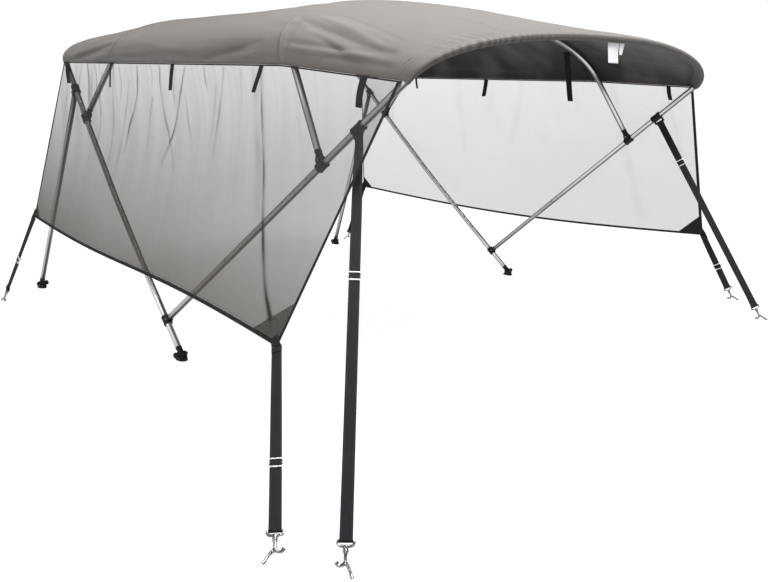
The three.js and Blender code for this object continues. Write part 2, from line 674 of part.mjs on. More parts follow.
{
  const { name, along, across, width, drop } = FREE_TIE;
  const { point, out } = canopyPoint(along, across);
  const { forward } = canopyFrame(along, across);
  const top = point.addScaledVector(out, -CANOPY_THICKNESS - TIE.gap - GAP);
  const look = forward.clone().cross(vec(...drop)).normalize();
  const grid = spread(0, 1, TIE.steps).map((fall) =>
    [1, -1].map((half) => ({
      point: top.clone().addScaledVector(vec(...drop), fall).addScaledVector(forward, (half * width) / 2),
      out: look,
    })),
  );
  add(name, skin(grid, TIE.thickness), WEBBING_BLACK);
}

// Care label: a plain tag and a short tab beside it, hung from the seam of the fore pocket
const LABEL = { across: 0.486, width: 84, length: 74, tab: 28, tabLength: 38, slot: 3, header: 7, thickness: 1 };

{
  const { out, centre } = pocketFrame(SECTIONS.length - 1, LABEL.across, 1);
  const { over } = canopyFrame(SECTIONS.length - 1, LABEL.across);
  const whole = LABEL.width + LABEL.slot + LABEL.tab;
  const outline = new THREE.Shape([
    new THREE.Vector2(0, 0),
    new THREE.Vector2(0, -LABEL.length),
    new THREE.Vector2(LABEL.width, -LABEL.length),
    new THREE.Vector2(LABEL.width, -LABEL.header),
    new THREE.Vector2(LABEL.width + LABEL.slot, -LABEL.header),
    new THREE.Vector2(LABEL.width + LABEL.slot, -LABEL.tabLength),
    new THREE.Vector2(whole, -LABEL.tabLength),
    new THREE.Vector2(whole, 0),
  ]);
  const geometry = new THREE.ExtrudeGeometry(outline, { depth: LABEL.thickness, bevelEnabled: false });
  geometry.translate(-whole / 2, 0, 0);
  const upward = vec(0, 0, 1).addScaledVector(over, -over.z).normalize();
  const label = add('care_label', geometry, LABEL_WHITE);
  label.quaternion.setFromRotationMatrix(
    new THREE.Matrix4().makeBasis(over, upward, over.clone().cross(upward)),
  );
  label.position.copy(centre).addScaledVector(out, -POCKET_RADIUS).addScaledVector(upward, -1.4);
}

// Strap jaws: a slide on the fore leg with a bar that the bow strap is looped over
const EYE_BAR = { reach: 31, radius: 3.5, half: 22, ear: 4.5, sleeve: 50 };

function strapJaw(side, tip) {
  const { point, axis } = jawPoint(side, 'strap');
  const down = tip.clone().sub(point);
  const away = down.addScaledVector(axis, -down.dot(axis)).normalize();
  const middle = point.clone().addScaledVector(away, EYE_BAR.reach);
  const along = (from, length) => from.clone().addScaledVector(axis, length);
  const sleeve = rod(along(point, -EYE_BAR.sleeve / 2), along(point, EYE_BAR.sleeve / 2), JAW.radius);
  const bore = clearRod(along(point, -EYE_BAR.sleeve), along(point, EYE_BAR.sleeve), TUBE_RADIUS);
  const pull = tip.clone().sub(middle).normalize();
  const square = axis.clone().addScaledVector(pull, -axis.dot(pull)).normalize();
  const eyeEnd = (end) => middle.clone().addScaledVector(square, end * EYE_BAR.half);
  const ears = [-1, 1].map((end) => rod(along(point, end * EYE_BAR.half), eyeEnd(end), EYE_BAR.ear, 8));
  const eye = rod(eyeEnd(-1), eyeEnd(1), EYE_BAR.radius, 8);
  const geometry = toGeometry(join(sleeve, ...ears, eye).subtract(toSolid(bore)));
  return { geometry, top: middle, axis: square };
}

// Straps, sliders and hooks. Each is worked out in the strap's own frame: across its width, down its length
// from its top, and out through its thickness.
const LAYER = 1.6;
const LOOP = { radius: 5.8, neck: 24 };
const HOOK = { length: 92, rise: 2, seat: 1.4 };
const TWIST_LENGTH = 200;
const TWIST_STEPS = 22;

function strapFrame(top, tip, { claw, turn }, topWidth) {
  let down = tip.clone().sub(top).normalize();
  const facing = vec(FACING.x, FACING.y, 0);
  let width = facing;
  let end = tip.clone();
  for (let k = 0; k < 5; k++) {
    width = facing.clone().addScaledVector(down, -facing.dot(down)).normalize();
    width.applyAxisAngle(down, THREE.MathUtils.degToRad(turn));
    end = tip.clone().addScaledVector(width, -claw);
    down = end.clone().sub(top).normalize();
  }
  const first = topWidth ? topWidth.clone().addScaledVector(down, -topWidth.dot(down)).normalize() : width;
  if (first.dot(width) < 0) first.negate();
  const at = (length) => {
    const across = mix(first, width, Math.min(Math.max(length / TWIST_LENGTH, 0), 1)).normalize();
    return { across, out: across.clone().cross(down) };
  };
  return { top, down, width, at, length: end.distanceTo(top) - HOOK.length };
}

function loopRound(length, way) {
  return spread(0, 180, 4).map((degrees) => {
    const turn = THREE.MathUtils.degToRad(degrees);
    return [length + way * LOOP.radius * Math.sin(turn), way * LOOP.radius * Math.cos(turn)];
  });
}

// The run of the webbing as pairs of a length down the strap and an offset through its thickness
function strapRun(frame, double, slider) {
  const { length } = frame;
  const lower = loopRound(length, 1);
  if (double === 'above') {
    const stations = [...spread(LOOP.neck, TWIST_LENGTH, TWIST_STEPS), slider];
    return [
      [length - 55, LAYER],
      [length - LOOP.neck, LAYER],
      ...lower,
      [length - LOOP.neck, -LAYER],
      ...stations.toReversed().map((s) => [s, -LAYER]),
      ...loopRound(0, -1),
      ...stations.map((s) => [s, LAYER]),
      [slider + 14, LAYER],
    ];
  }
  return [
    [0.6, 0],
    [40, -LAYER],
    [length - LOOP.neck, -LAYER],
    ...lower.toReversed(),
    [length - LOOP.neck, LAYER],
    [slider - 14, LAYER],
  ];
}

function ribbon(frame, run) {
  const grid = run.map(([length, offset], k) => {
    const { across, out } = frame.at(length);
    const [lengthBefore, offsetBefore] = run[Math.max(k - 1, 0)];
    const [lengthAfter, offsetAfter] = run[Math.min(k + 1, run.length - 1)];
    const way = new THREE.Vector2(lengthAfter - lengthBefore, offsetAfter - offsetBefore).normalize();
    const look = out.clone().multiplyScalar(way.x).addScaledVector(frame.down, -way.y).normalize();
    const middle = frame.top.clone().addScaledVector(frame.down, length).addScaledVector(out, offset);
    middle.addScaledVector(look, WEBBING.thickness / 2);
    return [1, -1].map((half) => ({
      point: middle.clone().addScaledVector(across, (half * WEBBING.width) / 2),
      out: look,
    }));
  });
  return skin(grid, WEBBING.thickness);
}

// Moves a geometry drawn as x across, y down and z out into the strap's frame at a length down it
function place(geometry, frame, length) {
  const { across, out } = frame.at(length);
  const basis = new THREE.Matrix4().makeBasis(across, frame.down, out);
  basis.setPosition(frame.top.clone().addScaledVector(frame.down, length));
  return geometry.applyMatrix4(basis);
}

const SLIDER = { half: 19.5, side: 3.5, height: 24, depth: 11, bar: 4, wall: 2 };

function slider() {
  const box = (width, height, depth, x, y, z) => new THREE.BoxGeometry(width, height, depth).translate(x, y, z);
  const { half, side, height, depth, bar: thick, wall } = SLIDER;
  const face = (depth - wall) / 2;
  return toGeometry(
    join(
      box(side, height, depth, -half + side / 2, 0, 0),
      box(side, height, depth, half - side / 2, 0, 0),
      box(2 * half - side, thick, wall, 0, -(height - thick) / 2, -face),
      box(2 * half - side, thick, wall, 0, (height - thick) / 2, -face),
      box(2 * half - side, thick, wall, 0, 0, face),
    ),
  );
}

function hook(claw) {
  const wire = (radius, ...points) => bar(points.map(([x, y]) => vec(x, y, 0)), radius, 6, vec(0, 0, 1));
  const half = [[2, 14], [16, 14], [20, 9], [20, 3], [17, 0]];
  const mirrored = half.map(([x, y]) => [-x, y]);
  const lobe = -Math.sign(claw);
  return join(
    wire(2.6, ...mirrored, ...half.toReversed()),
    wire(3.4, [0, 12], [0, 58]),
    wire(5.2, [0, 18], [0, 27]),
    wire(3.2, [0, 54], [claw * 0.32, 63], [claw * 0.65, 75], [claw * 0.84, 86], [claw, HOOK.length]),
    wire(3.2, [0, 54], [lobe * 9, 61], [lobe * 17, 61], [lobe * 22, 55]),
  );
}

const aboveGround = new THREE.BoxGeometry(6000, 6000, 3000).translate(0, 0, 1500);

for (const strap of STRAPS) {
  const { name, side, double } = strap;
  const tip = vec(...strap.tip, HOOK.rise);
  const corner = name.endsWith('fore') ? 1 : 0;
  let frame;
  if (name.endsWith('bow')) {
    const { geometry, top, axis } = strapJaw(side, tip);
    add(`jaw_${SIDES[side].name}_strap`, geometry, NYLON_BLACK);
    frame = strapFrame(top, tip, strap, axis);
  } else {
    frame = strapFrame(wallPoint(side, corner, 1).point, tip, strap, null);
  }
  const sliderAt = strap.slider * frame.length;
  add(`strap_${name}`, ribbon(frame, strapRun(frame, double, sliderAt)), WEBBING_BLACK);
  add(`slider_${name}`, place(slider(), frame, sliderAt), STEEL);
  const placed = toGeometry(hook(strap.claw)).applyMatrix4(
    new THREE.Matrix4()
      .makeBasis(frame.width, frame.down, frame.width.clone().cross(frame.down))
      .setPosition(frame.top.clone().addScaledVector(frame.down, frame.length + HOOK.seat)),
  );
  add(`hook_${name}`, toGeometry(toSolid(placed).intersect(toSolid(aboveGround))), STEEL);
}

// The origin is under the middle of the whole set-up, on the ground
const reach = new THREE.Box3().setFromObject(bimini);
const middle = reach.getCenter(vec(0, 0, 0));
bimini.position.set(-middle.x, -middle.y, -reach.min.z);
bimini.updateMatrixWorld(true);

export default bimini;
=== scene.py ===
# A bimini top for a small boat, set up over its four bows with a mesh wall down each side.
# Metres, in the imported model's frame: +X forward, +Y to port and +Z up, standing on z = 0.
import math

import bmesh
import bpy
import numpy as np
from mathutils import Matrix, Vector


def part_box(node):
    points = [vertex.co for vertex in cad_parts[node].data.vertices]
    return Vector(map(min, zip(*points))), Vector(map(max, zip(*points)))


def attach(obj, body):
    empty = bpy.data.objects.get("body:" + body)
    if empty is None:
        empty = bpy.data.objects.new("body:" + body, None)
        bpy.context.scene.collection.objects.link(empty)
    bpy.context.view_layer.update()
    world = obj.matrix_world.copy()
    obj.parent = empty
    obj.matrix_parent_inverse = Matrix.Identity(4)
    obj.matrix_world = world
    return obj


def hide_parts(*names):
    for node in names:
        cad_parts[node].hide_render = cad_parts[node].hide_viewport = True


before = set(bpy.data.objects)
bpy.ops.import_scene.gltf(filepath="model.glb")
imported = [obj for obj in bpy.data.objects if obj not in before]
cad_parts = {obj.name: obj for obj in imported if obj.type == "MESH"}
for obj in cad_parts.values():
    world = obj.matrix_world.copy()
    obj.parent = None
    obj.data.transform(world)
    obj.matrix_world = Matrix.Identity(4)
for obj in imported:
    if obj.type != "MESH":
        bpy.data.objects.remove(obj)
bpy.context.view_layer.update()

# Studio. A plain white floor under a white room, with a large soft light overhead and a softer one from the
# starboard side. The part stands where its foot plates say, so the camera is set from them.
PLATE_REACH = 0.010
starboard_plate, port_plate = (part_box(f"deck_hinge_{side}_main") for side in ("starboard", "port"))
BOAT = np.array([starboard_plate[1].x - PLATE_REACH, (starboard_plate[0].y + port_plate[1].y) / 2, 0.0])
AZIMUTH, ELEVATION, ROLL = (math.radians(a) for a in (41.8, 13.63, 1.2))
FOCAL_PIXELS, FRAME_PIXELS, SENSOR = 870, 768, 36
CAMERA_PLACE, SEES_TO = (2.94, -3.252, 1.164), 200
FLOOR, FLOOR_DROP = 40, 0.0005


def new_object(name, data):
    made = bpy.data.objects.new(name, data)
    bpy.context.scene.collection.objects.link(made)
    return made


back = Vector(
    (math.sin(AZIMUTH) * math.cos(ELEVATION), -math.cos(AZIMUTH) * math.cos(ELEVATION), math.sin(ELEVATION))
)
level = Vector((0, 0, 1)).cross(back).normalized()
right = math.cos(ROLL) * level + math.sin(ROLL) * back.cross(level)
optics = bpy.data.cameras.new("camera")
optics.sensor_width, optics.lens, optics.clip_end = SENSOR, FOCAL_PIXELS / FRAME_PIXELS * SENSOR, SEES_TO
camera = new_object("camera", optics)
aimed = Matrix((right, back.cross(right), back)).transposed().to_4x4()
camera.matrix_world = Matrix.Translation(Vector(BOAT) + Vector(CAMERA_PLACE)) @ aimed
bpy.context.scene.camera = camera


class Field:
    """One output of a finish's nodes. Sums and products of fields add their Math nodes."""

    def __init__(self, paint, socket):
        self.paint, self.socket = paint, socket

    def joined_by(operation, flipped=False):
        def join(self, other):
            return self.paint.apply(operation, *((other, self) if flipped else (self, other)))

        return join

    __add__ = __radd__ = joined_by("ADD")
    __mul__ = __rmul__ = joined_by("MULTIPLY")
    __sub__, __rsub__ = joined_by("SUBTRACT"), joined_by("SUBTRACT", flipped=True)
    __pow__, __lt__ = joined_by("POWER"), joined_by("LESS_THAN")


class Paint:
    """A finish: one material, or the room's light, with its shader and the nodes that feed it."""

    def __init__(self, name, kept_with=bpy.data.materials, shader="Principled BSDF", **constants):
        self.material = kept_with.new(name)
        self.material.use_nodes = True
        self.tree = self.material.node_tree
        self.shader = self.tree.nodes[shader]
        for socket, value in constants.items():
            self.shader.inputs[socket.replace("_", " ")].default_value = value

    def node(self, kind, settings=None, inputs=None, output=0):
        made = self.tree.nodes.new("ShaderNode" + kind)
        for key, value in (settings or {}).items():
            if key == "stops":
                for element, (place, shade) in zip(made.color_ramp.elements, value):
                    element.position, element.color = place, tint(shade)
            else:
                setattr(made, key, value)
        for key, value in (inputs or {}).items():
            if isinstance(value, Field):
                self.tree.links.new(value.socket, made.inputs[key])
            else:
                made.inputs[key].default_value = value
        return Field(self, made.outputs[output])

    def feed(self, socket, field):
        self.tree.links.new(field.socket, self.shader.inputs[socket])

    def apply(self, operation, *values):
        return self.node("Math", {"operation": operation}, dict(enumerate(values)))

    def place(self, kind="UV"):
        return self.node("TexCoord", output=kind)

    def axes(self, field):
        return [self.node("SeparateXYZ", inputs={0: field}, output=axis) for axis in "XYZ"]

    def attribute(self, name, output):
        return self.node("Attribute", {"attribute_name": name}, output=output)

    def noise(self, scale, detail=3.0, where=None):
        where = where or self.place("Object")
        return self.node("TexNoise", inputs={"Vector": where, "Scale": scale, "Detail": detail, "Roughness": 0.55})

    def mix(self, factor, dark, light):
        return self.node("Mix", {"data_type": "RGBA"}, {0: factor, 6: dark, 7: light}, output=2)

    def colour(self, factor, dark, light):
        self.feed("Base Color", self.mix(factor, dark, light))

    def ribs(self, distance, pitch):
        """Rises and falls once for each pitch, from 0 to 1."""
        return self.apply("SINE", distance * (2 * math.pi / pitch)) * 0.5 + 0.5

    def stitches(self, rows, across, along, pitch, thread, share):
        """Dashes of thread along some rows, drawn over a share of each pitch."""
        sewn = None
        for row in rows:
            dash = self.apply("COMPARE", across, row, thread) * (self.apply("FRACT", along * (1 / pitch)) < share)
            sewn = dash if sewn is None else self.apply("MAXIMUM", sewn, dash)
        return sewn

    def raise_by(self, height, distance, strength=1.0):
        self.feed("Normal", self.node("Bump", inputs={"Height": height, "Distance": distance, "Strength": strength}))


def tint(*shades):
    """A colour from its red, green and blue, or from one shade of grey."""
    return (*(shades * 3)[:3], 1.0)


def object_from(name, vertices, faces, finishes, uvs=None, finish_of=None):
    """A mesh piece with its finishes, its UVs in metres and smooth faces."""
    mesh = bpy.data.meshes.new(name)
    mesh.from_pydata([tuple(v) for v in vertices], [], [tuple(f) for f in faces])
    for finish in finishes:
        mesh.materials.append(finish.material)
    if finish_of is not None:
        mesh.polygons.foreach_set("material_index", finish_of)
    mesh.polygons.foreach_set("use_smooth", [True] * len(mesh.polygons))
    if uvs is not None:
        corners = np.zeros(len(mesh.loops), dtype=np.int32)
        mesh.loops.foreach_get("vertex_index", corners)
        mesh.uv_layers.new(name="UVMap").data.foreach_set("uv", np.asarray(uvs, float)[corners].ravel())
    mesh.update()
    return new_object(name, mesh)


floor_paint = Paint(
    "studio_floor", Roughness=0.9, Specular_IOR_Level=0.1, Emission_Strength=0.95, Emission_Color=tint(1)
)
floor_paint.colour(floor_paint.noise(0.6), tint(0.12), tint(0.14))
corners = [(x * FLOOR, y * FLOOR, -FLOOR_DROP) for x, y in ((-1, -1), (1, -1), (1, 1), (-1, 1))]
floor = object_from("floor", corners, [(0, 1, 2, 3)], [floor_paint])


def softbox(name, place, aim, size, power, spread):
    data = bpy.data.lights.new(name, "AREA")
    data.shape, data.size, data.energy, data.spread = "SQUARE", size, power, math.radians(spread)
    lamp = new_object(name, data)
    lamp.location = place
    lamp.rotation_euler = (Vector(aim) - Vector(place)).to_track_quat("-Z", "Y").to_euler()


softbox("overhead", (2.1, -0.3, 5.5), (0.1, 0.1, 1.2), 3.5, 258, 90)
softbox("beside", (1.2, -5.6, 2.6), (0, -0.6, 1.2), 2.6, 26, 120)
# The room is white at eye level and falls off to grey overhead, which gives the tubes something to reflect.
room = Paint("room", bpy.data.worlds, "Background")
height = room.axes(room.place("Generated"))[2]
room.feed("Color", room.node("ValToRGB", {"stops": ((0.2, 1.04), (0.75, 0.22))}, {"Fac": height}))
bpy.context.scene.world = room.material
bpy.context.scene.view_settings.view_transform = "Standard"

# Canopy. Woven acrylic-coated polyester in three panels, sewn together over the two inner bows and drawn
# tight over the end bows, which run in pockets turned back under the cloth. Its sides end in a narrow hem.

# For each bow from aft: the place of its feet in the hem, the hem's height to starboard and to port, half its
# width, its crown, its forward lean and the squareness of its shoulders
X = np.array([-1.155, -0.740, 0.505, 1.095])
HEM = np.array([[1.218, 1.182], [1.216, 1.182], [1.210, 1.182], [1.162, 1.162]])
HALF = np.array([1.050, 1.062, 1.110, 1.120])
CROWN = np.array([1.402, 1.453, 1.488, 1.350])
LEAN = np.array([-0.3, 0.53, -0.18, 1.06])
SQUARE = np.array([[2.4, 2.1], [2.9, 2.3], [3.0, 2.2], [2.7, 1.8]])
LENGTH = X[3] - X[0]
PANELS = (0.415, 1.245, 0.590)
CLOTH, SHEET, SAG, TUBE = 0.002, 0.0009, 0.005, 0.0127
POCKET, GRIP = TUBE + 0.0015 + CLOTH, TUBE + 0.0003 + SHEET


def arch(section, across):
    """A point on the cloth over a bow, 0 at the starboard hem and 1 at the port hem."""
    turn = across * math.pi
    cosine = np.cos(turn)
    end = (cosine < 0).astype(int)
    power = 2 / SQUARE[section, end]
    rise = (CROWN[section] - HEM[section, end]) * np.maximum(np.sin(turn), 0) ** power
    side = -HALF[section] * np.sign(cosine) * np.abs(cosine) ** power
    return np.stack([X[section] + LEAN[section] * rise, side, HEM[section, end] + rise], -1)


def matched(*values):
    return np.broadcast_arrays(*(np.asarray(value, float) for value in values))


def smooth_cloth(along, across):
    along, across = matched(along, np.clip(across, 0, 1))
    section = np.clip(np.floor(along).astype(int), 0, 2)
    share = (along - section)[..., None]
    return arch(section, across) * (1 - share) + arch(section + 1, across) * share


def unit(vector):
    return vector / np.maximum(np.linalg.norm(vector, axis=-1, keepdims=True), 1e-12)


def cloth_frame(along, across, step=0.012, aside=0.004):
    """Unit directions forward along the cloth, over it to port, and out of it."""
    along, across = matched(along, across)
    before, after, inside = np.maximum(along - step, 0), np.minimum(along + step, 3), np.clip(across, aside, 1 - aside)
    ahead = unit(smooth_cloth(after, across) - smooth_cloth(before, across))
    sideways = unit(smooth_cloth(along, inside + aside) - smooth_cloth(along, inside - aside))
    return ahead, sideways, unit(np.cross(ahead, sideways))


def bump(distance):
    return np.where(np.abs(distance) < 1, np.cos(np.clip(distance, -1, 1) * math.pi / 2) ** 2, 0)


def bell(distance, width):
    return np.exp(-((distance / width) ** 2))


def ripple(place, close, wander, slow):
    """Close waves that wander by a slower wave, so that no two are alike."""
    return np.sin(place * close + wander * np.sin(place * slow))


def running(steps):
    """The running total of some steps, from 0."""
    return np.concatenate([[0], np.cumsum(steps)])


def step_lengths(points, axis=0):
    return np.linalg.norm(np.diff(points, axis=axis), axis=-1)


# Soft folds: from (along, across) to (along, across), half the width and the height in millimetres
FOLDS = [
    ((2.12, 0.155), (2.82, 0.082), 70, -13), ((2.15, 0.2), (2.75, 0.11), 75, 9),
    ((2.2, 0.115), (2.7, 0.06), 60, 8), ((2.25, 0.09), (2.6, 0.05), 55, -8), ((0.3, 0.02), (0.85, 0.07), 70, -9),
    ((0.2, 0.075), (0.7, 0.12), 80, 8), ((1.25, 0.03), (1.5, 0.02), 60, 3), ((1.6, 0.01), (1.88, 0.045), 60, -4.5),
    ((2.2, 0.9), (2.75, 0.94), 80, -9), ((0.25, 0.93), (0.75, 0.95), 80, 8),
]
# Sharper creases along lines of points, half the width and the height in millimetres
CREASES = [
    ([(2.11, 0.155), (2.36, 0.128), (2.6, 0.092), (2.76, 0.085)], 24, -5),
    ([(2.21, 0.18), (2.42, 0.152), (2.64, 0.115)], 22, 4), ([(2.3, 0.205), (2.5, 0.18), (2.7, 0.15)], 20, -3),
    ([(2.28, 0.092), (2.42, 0.065), (2.47, 0.052)], 20, -4.5),
    ([(2.23, 0.108), (2.45, 0.075), (2.55, 0.062)], 20, 3.5),
    ([(2.12, 0.04), (2.38, 0.045), (2.65, 0.055)], 18, 3.5), ([(2.14, 0.055), (2.36, 0.06), (2.6, 0.07)], 16, -3),
    ([(2.42, 0.028), (2.64, 0.03), (2.82, 0.03)], 18, -3.5),
    ([(2.03, 0.015), (2.06, 0.06), (2.065, 0.14)], 26, -6),
    ([(0.35, 0.02), (0.67, 0.048), (0.94, 0.075)], 18, -4.5),
    ([(0.3, 0.035), (0.62, 0.07), (0.9, 0.105)], 20, 3.5), ([(0.62, 0.008), (0.92, 0.022)], 16, 3.5),
    ([(0.15, 0.07), (0.33, 0.105)], 20, -3), ([(1.62, 0.008), (1.73, 0.022), (1.81, 0.028)], 14, -4),
    ([(1.28, 0.03), (1.45, 0.022)], 12, -2.5), ([(1.36, 0.045), (1.52, 0.035), (1.66, 0.04)], 12, 1.5),
    ([(1.1, 0.012), (1.3, 0.016), (1.5, 0.012)], 12, -3), ([(1.08, 0.04), (1.2, 0.05), (1.3, 0.045)], 14, -1.8),
    ([(1.78, 0.032), (1.88, 0.05)], 16, -3.5), ([(1.82, 0.012), (1.93, 0.022)], 12, 3.5),
    ([(1.05, 0.03), (1.12, 0.12), (1.16, 0.22)], 30, 2), ([(1.93, 0.06), (1.87, 0.2), (1.84, 0.34)], 30, 2),
    ([(2.9, 0.3), (2.72, 0.34), (2.5, 0.36)], 30, -2), ([(2.9, 0.62), (2.7, 0.66), (2.45, 0.7)], 30, 2),
    ([(2.15, 0.88), (2.5, 0.93), (2.8, 0.95)], 22, -3), ([(2.2, 0.84), (2.5, 0.86), (2.85, 0.85)], 30, 3.5),
    ([(0.2, 0.93), (0.6, 0.95), (0.9, 0.93)], 20, -3), ([(1.3, 0.95), (1.6, 0.965)], 18, 3),
]
# Seams over the inner bows: dips behind and ahead, height of the seam, depth of the furrow beside it and the painted
# shade in it
SEAMS = {1: (0.006, 0.002, 0.0009, 0.0016, 0.014), 2: (0.007, 0.003, 0.0003, 0.0004, 0.0015)}
SEAM_HALF, FURROW_BACK, FURROW_HALF, POCKET_RIPPLE = 0.006, 0.0085, 0.005, (205, 2, 37)


def along_line(points, ends, width):
    """How near each point is to a straight fold, and how far along the fold it lies."""
    start, stop = (smooth_cloth(*end) for end in ends)
    run, reach = stop - start, points - start
    way = reach @ run / (run @ run)
    return np.linalg.norm(reach - way[..., None] * run, axis=-1) / (width / 1000), way


def dip(distance, reach):
    """Falls to -1 at the given reach from a seam and comes back beyond it."""
    return -(distance / reach) * np.exp(1 - distance / reach)


def relief(along, across, points):
    """How far the cloth stands off its smooth shape, and its tone of painted shade and painted highlight: 0 in a
    furrow, 1 on a ridge.
    """
    share = along - np.clip(np.floor(along), 0, 2)
    free = 16 * share**2 * (1 - share) ** 2
    rise = -SAG * free * np.sin(across * math.pi)
    shade_and_highlight = np.zeros_like(rise)
    # Each fold, crease and pucker is also painted into the tone: darker in its furrow as painted shade, lighter on its
    # ridge as painted highlight
    for start, stop, width, height in FOLDS:
        near, way = along_line(points, (start, stop), width)
        fold = height / 1000 * bump(near) * bump((way - 0.5) * 1.5) * np.minimum(free * 2, 1)
        rise, shade_and_highlight = rise + fold, shade_and_highlight + fold * 0.35
    for line, width, height in CREASES:
        strongest = np.zeros_like(rise)
        for ends in zip(line[:-1], line[1:]):
            near, way = along_line(points, ends, width)
            outside = np.maximum(np.maximum(-way, way - 1), 0)
            strongest = np.maximum(strongest, bump(near) * np.exp(-((outside * 3) ** 2)))
        crease = height / 1000 * strongest * np.minimum(free * 8, 1)
        rise, shade_and_highlight = rise + crease, shade_and_highlight + crease
    # Small puckers where the cloth is gathered into the hems, the seams and the pockets
    hem = np.minimum(across, 1 - across)
    x, y = points[..., 0], points[..., 1]
    gather = ripple(x, 61, 2, 17) + 0.6 * np.sin(x * 113 + 1.7)
    pucker = 0.0009 * gather * np.exp(-hem / 0.025) * np.minimum(hem / 0.004, 1)
    ruffle = ripple(y, 83, 2.2, 19) + 0.7 * np.sin(y * 151 + 0.6)
    to_seam = np.abs(along - np.round(along)) * np.interp(along, [0, 1, 1.0001, 2, 2.0001, 3], np.repeat(PANELS, 2))
    pucker = pucker + 0.0012 * ruffle * np.exp(-to_seam / 0.045) * np.minimum(to_seam / 0.012, 1)
    # The forward pocket is drawn up hardest on its starboard shoulder
    drawn = bell(across - 0.22, 0.09) * (along > 2.5) * np.exp(-to_seam / 0.05)
    pucker = pucker + 0.0028 * ripple(y, *POCKET_RIPPLE) * drawn * np.minimum(to_seam / 0.012, 1)
    rise, shade_and_highlight = rise + pucker, shade_and_highlight + 0.8 * pucker
    # The cloth dips on each side of the inner bows, and the panels are joined by flat seams
    for seam, (behind, ahead, flat, groove, shade) in SEAMS.items():
        aft, fore = np.maximum(seam - along, 0) * PANELS[seam - 1], np.maximum(along - seam, 0) * PANELS[seam]
        furrow = bump((aft - FURROW_BACK) / FURROW_HALF) * (along < seam)
        rise = rise + behind * dip(aft, 0.028) + ahead * dip(fore, 0.03)
        rise = rise + flat * (aft + fore < SEAM_HALF) - groove * furrow
        shade_and_highlight = shade_and_highlight - shade * furrow
    # The after part of the crown is painted darker than the part forward of the third bow, as painted shade
    shade_and_highlight = shade_and_highlight - 0.010 * np.sin(across * math.pi) ** 1.5 / (1 + np.exp((along - 1.75) / 0.12))
    slow = np.sin(x * 7.1 + 3 * y) * np.sin(y * 5.3 - 2 * x) + 0.5 * np.sin(x * 15 - 7 * y + 1)
    tight = (POCKET - GRIP) * bell(np.minimum(along * PANELS[0], (3 - along) * PANELS[2]), 0.03)
    rise = rise + 0.0011 * slow * np.minimum(free * 2, 1) - tight
    return rise, np.clip(0.5 + shade_and_highlight * 70, 0, 1)


def cloth_point(along, across):
    points = smooth_cloth(along, across)
    along, across = matched(along, across)
    out = cloth_frame(along, across)[2]
    rise, tone = relief(along, across, points)
    return points + out * rise[..., None], out, tone


def pocket_frame(along, across, forward):
    """The middle of the pocket round an end bow, and the directions ahead and out from it."""
    point, out, _ = cloth_point(along, across)
    sideways = cloth_frame(along, across)[1]
    return point - out * GRIP, unit(np.cross(sideways, out)) * forward, out


# Places over the cloth at even steps of its own length, closer where the forward pocket puckers
fine = np.linspace(0, 1, 801)
lengths = step_lengths(arch(np.full(len(fine), 2), fine))
reach_over = running(lengths)
CLOTH_STEPS, CROWDED = 226, 1.1
crowding = running(lengths * (1 + CROWDED * bell(fine[1:] - 0.2, 0.12)))
acrosses = np.interp(np.linspace(0, crowding[-1], CLOTH_STEPS + 1), crowding, fine)
# Places along it, close together beside the seams and the end bows
BY_SEAM = np.array([0.0015, 0.0035, 0.0055, 0.0065, 0.0085, 0.0105, 0.0135, 0.018])
PANEL_ROWS, PANEL_EDGE = (22, 56, 44), 0.024
alongs = [0.0, 3.0, 1.0, 2.0]
for panel, (length, rows) in enumerate(zip(PANELS, PANEL_ROWS)):
    beside = BY_SEAM / length
    alongs += [*np.linspace(panel + PANEL_EDGE / length, panel + 1 - PANEL_EDGE / length, rows)]
    alongs += [*(panel + beside), *(panel + 1 - beside)]
alongs = np.sort(alongs)
# The cloth wraps the tube and leaves it for the seam, 44 mm back and 12.5 mm above the tube's middle
SEAM_BACK, SEAM_UP = 0.044, 0.0125
LEAVES = 2 * math.pi - math.atan2(SEAM_BACK, SEAM_UP) - math.acos(GRIP / math.hypot(SEAM_BACK, SEAM_UP))
POCKET_TURNS = np.linspace(math.radians(12), LEAVES, 15)


def pocket_rows(along, forward):
    """Rows of points, outward directions and tones of painted shade and highlight round the tube and back under
    the cloth to the seam.
    """
    centre, ahead, out = pocket_frame(along, acrosses, forward)
    drawn = (0.25 + bell(acrosses - 0.25, 0.12)) * ripple(centre[:, 1], *POCKET_RIPPLE)
    rows = []
    # Round the tube it is drawn into small puckers, painted darker and lighter as painted shade and highlight, and
    #     back under the cloth it is flat with one line of painted shade at the seam
    for turn in POCKET_TURNS:
        look = out * math.cos(turn) + ahead * math.sin(turn)
        rows.append((centre + look * (GRIP + 0.0003 * (1 + drawn))[:, None], look, 0.5 + 0.36 * drawn))
    leave, seam = rows[-1][0], centre - ahead * SEAM_BACK + out * SEAM_UP
    for share, shade in ((0.3, 0.5), (0.62, 0.5), (0.86, 0.5), (0.93, 0.0), (1.0, 0.5)):
        rows.append((leave * (1 - share) + seam * share, look, np.full(len(acrosses), shade)))
    return rows


aft_rows, fore_rows = pocket_rows(0.0, -1)[::-1], pocket_rows(3.0, 1)
all_rows = aft_rows + [cloth_point(along, acrosses) for along in alongs] + fore_rows
cloth_outer, cloth_out, cloth_tone = (np.array([row[part] for row in all_rows]) for part in range(3))


def spread_uv(grid):
    """UVs in metres along and across a grid of points."""
    u, v = running(step_lengths(grid).mean(axis=1)), running(step_lengths(grid, axis=1).mean(axis=0))
    return np.stack(np.meshgrid(u, v, indexing="ij"), -1)


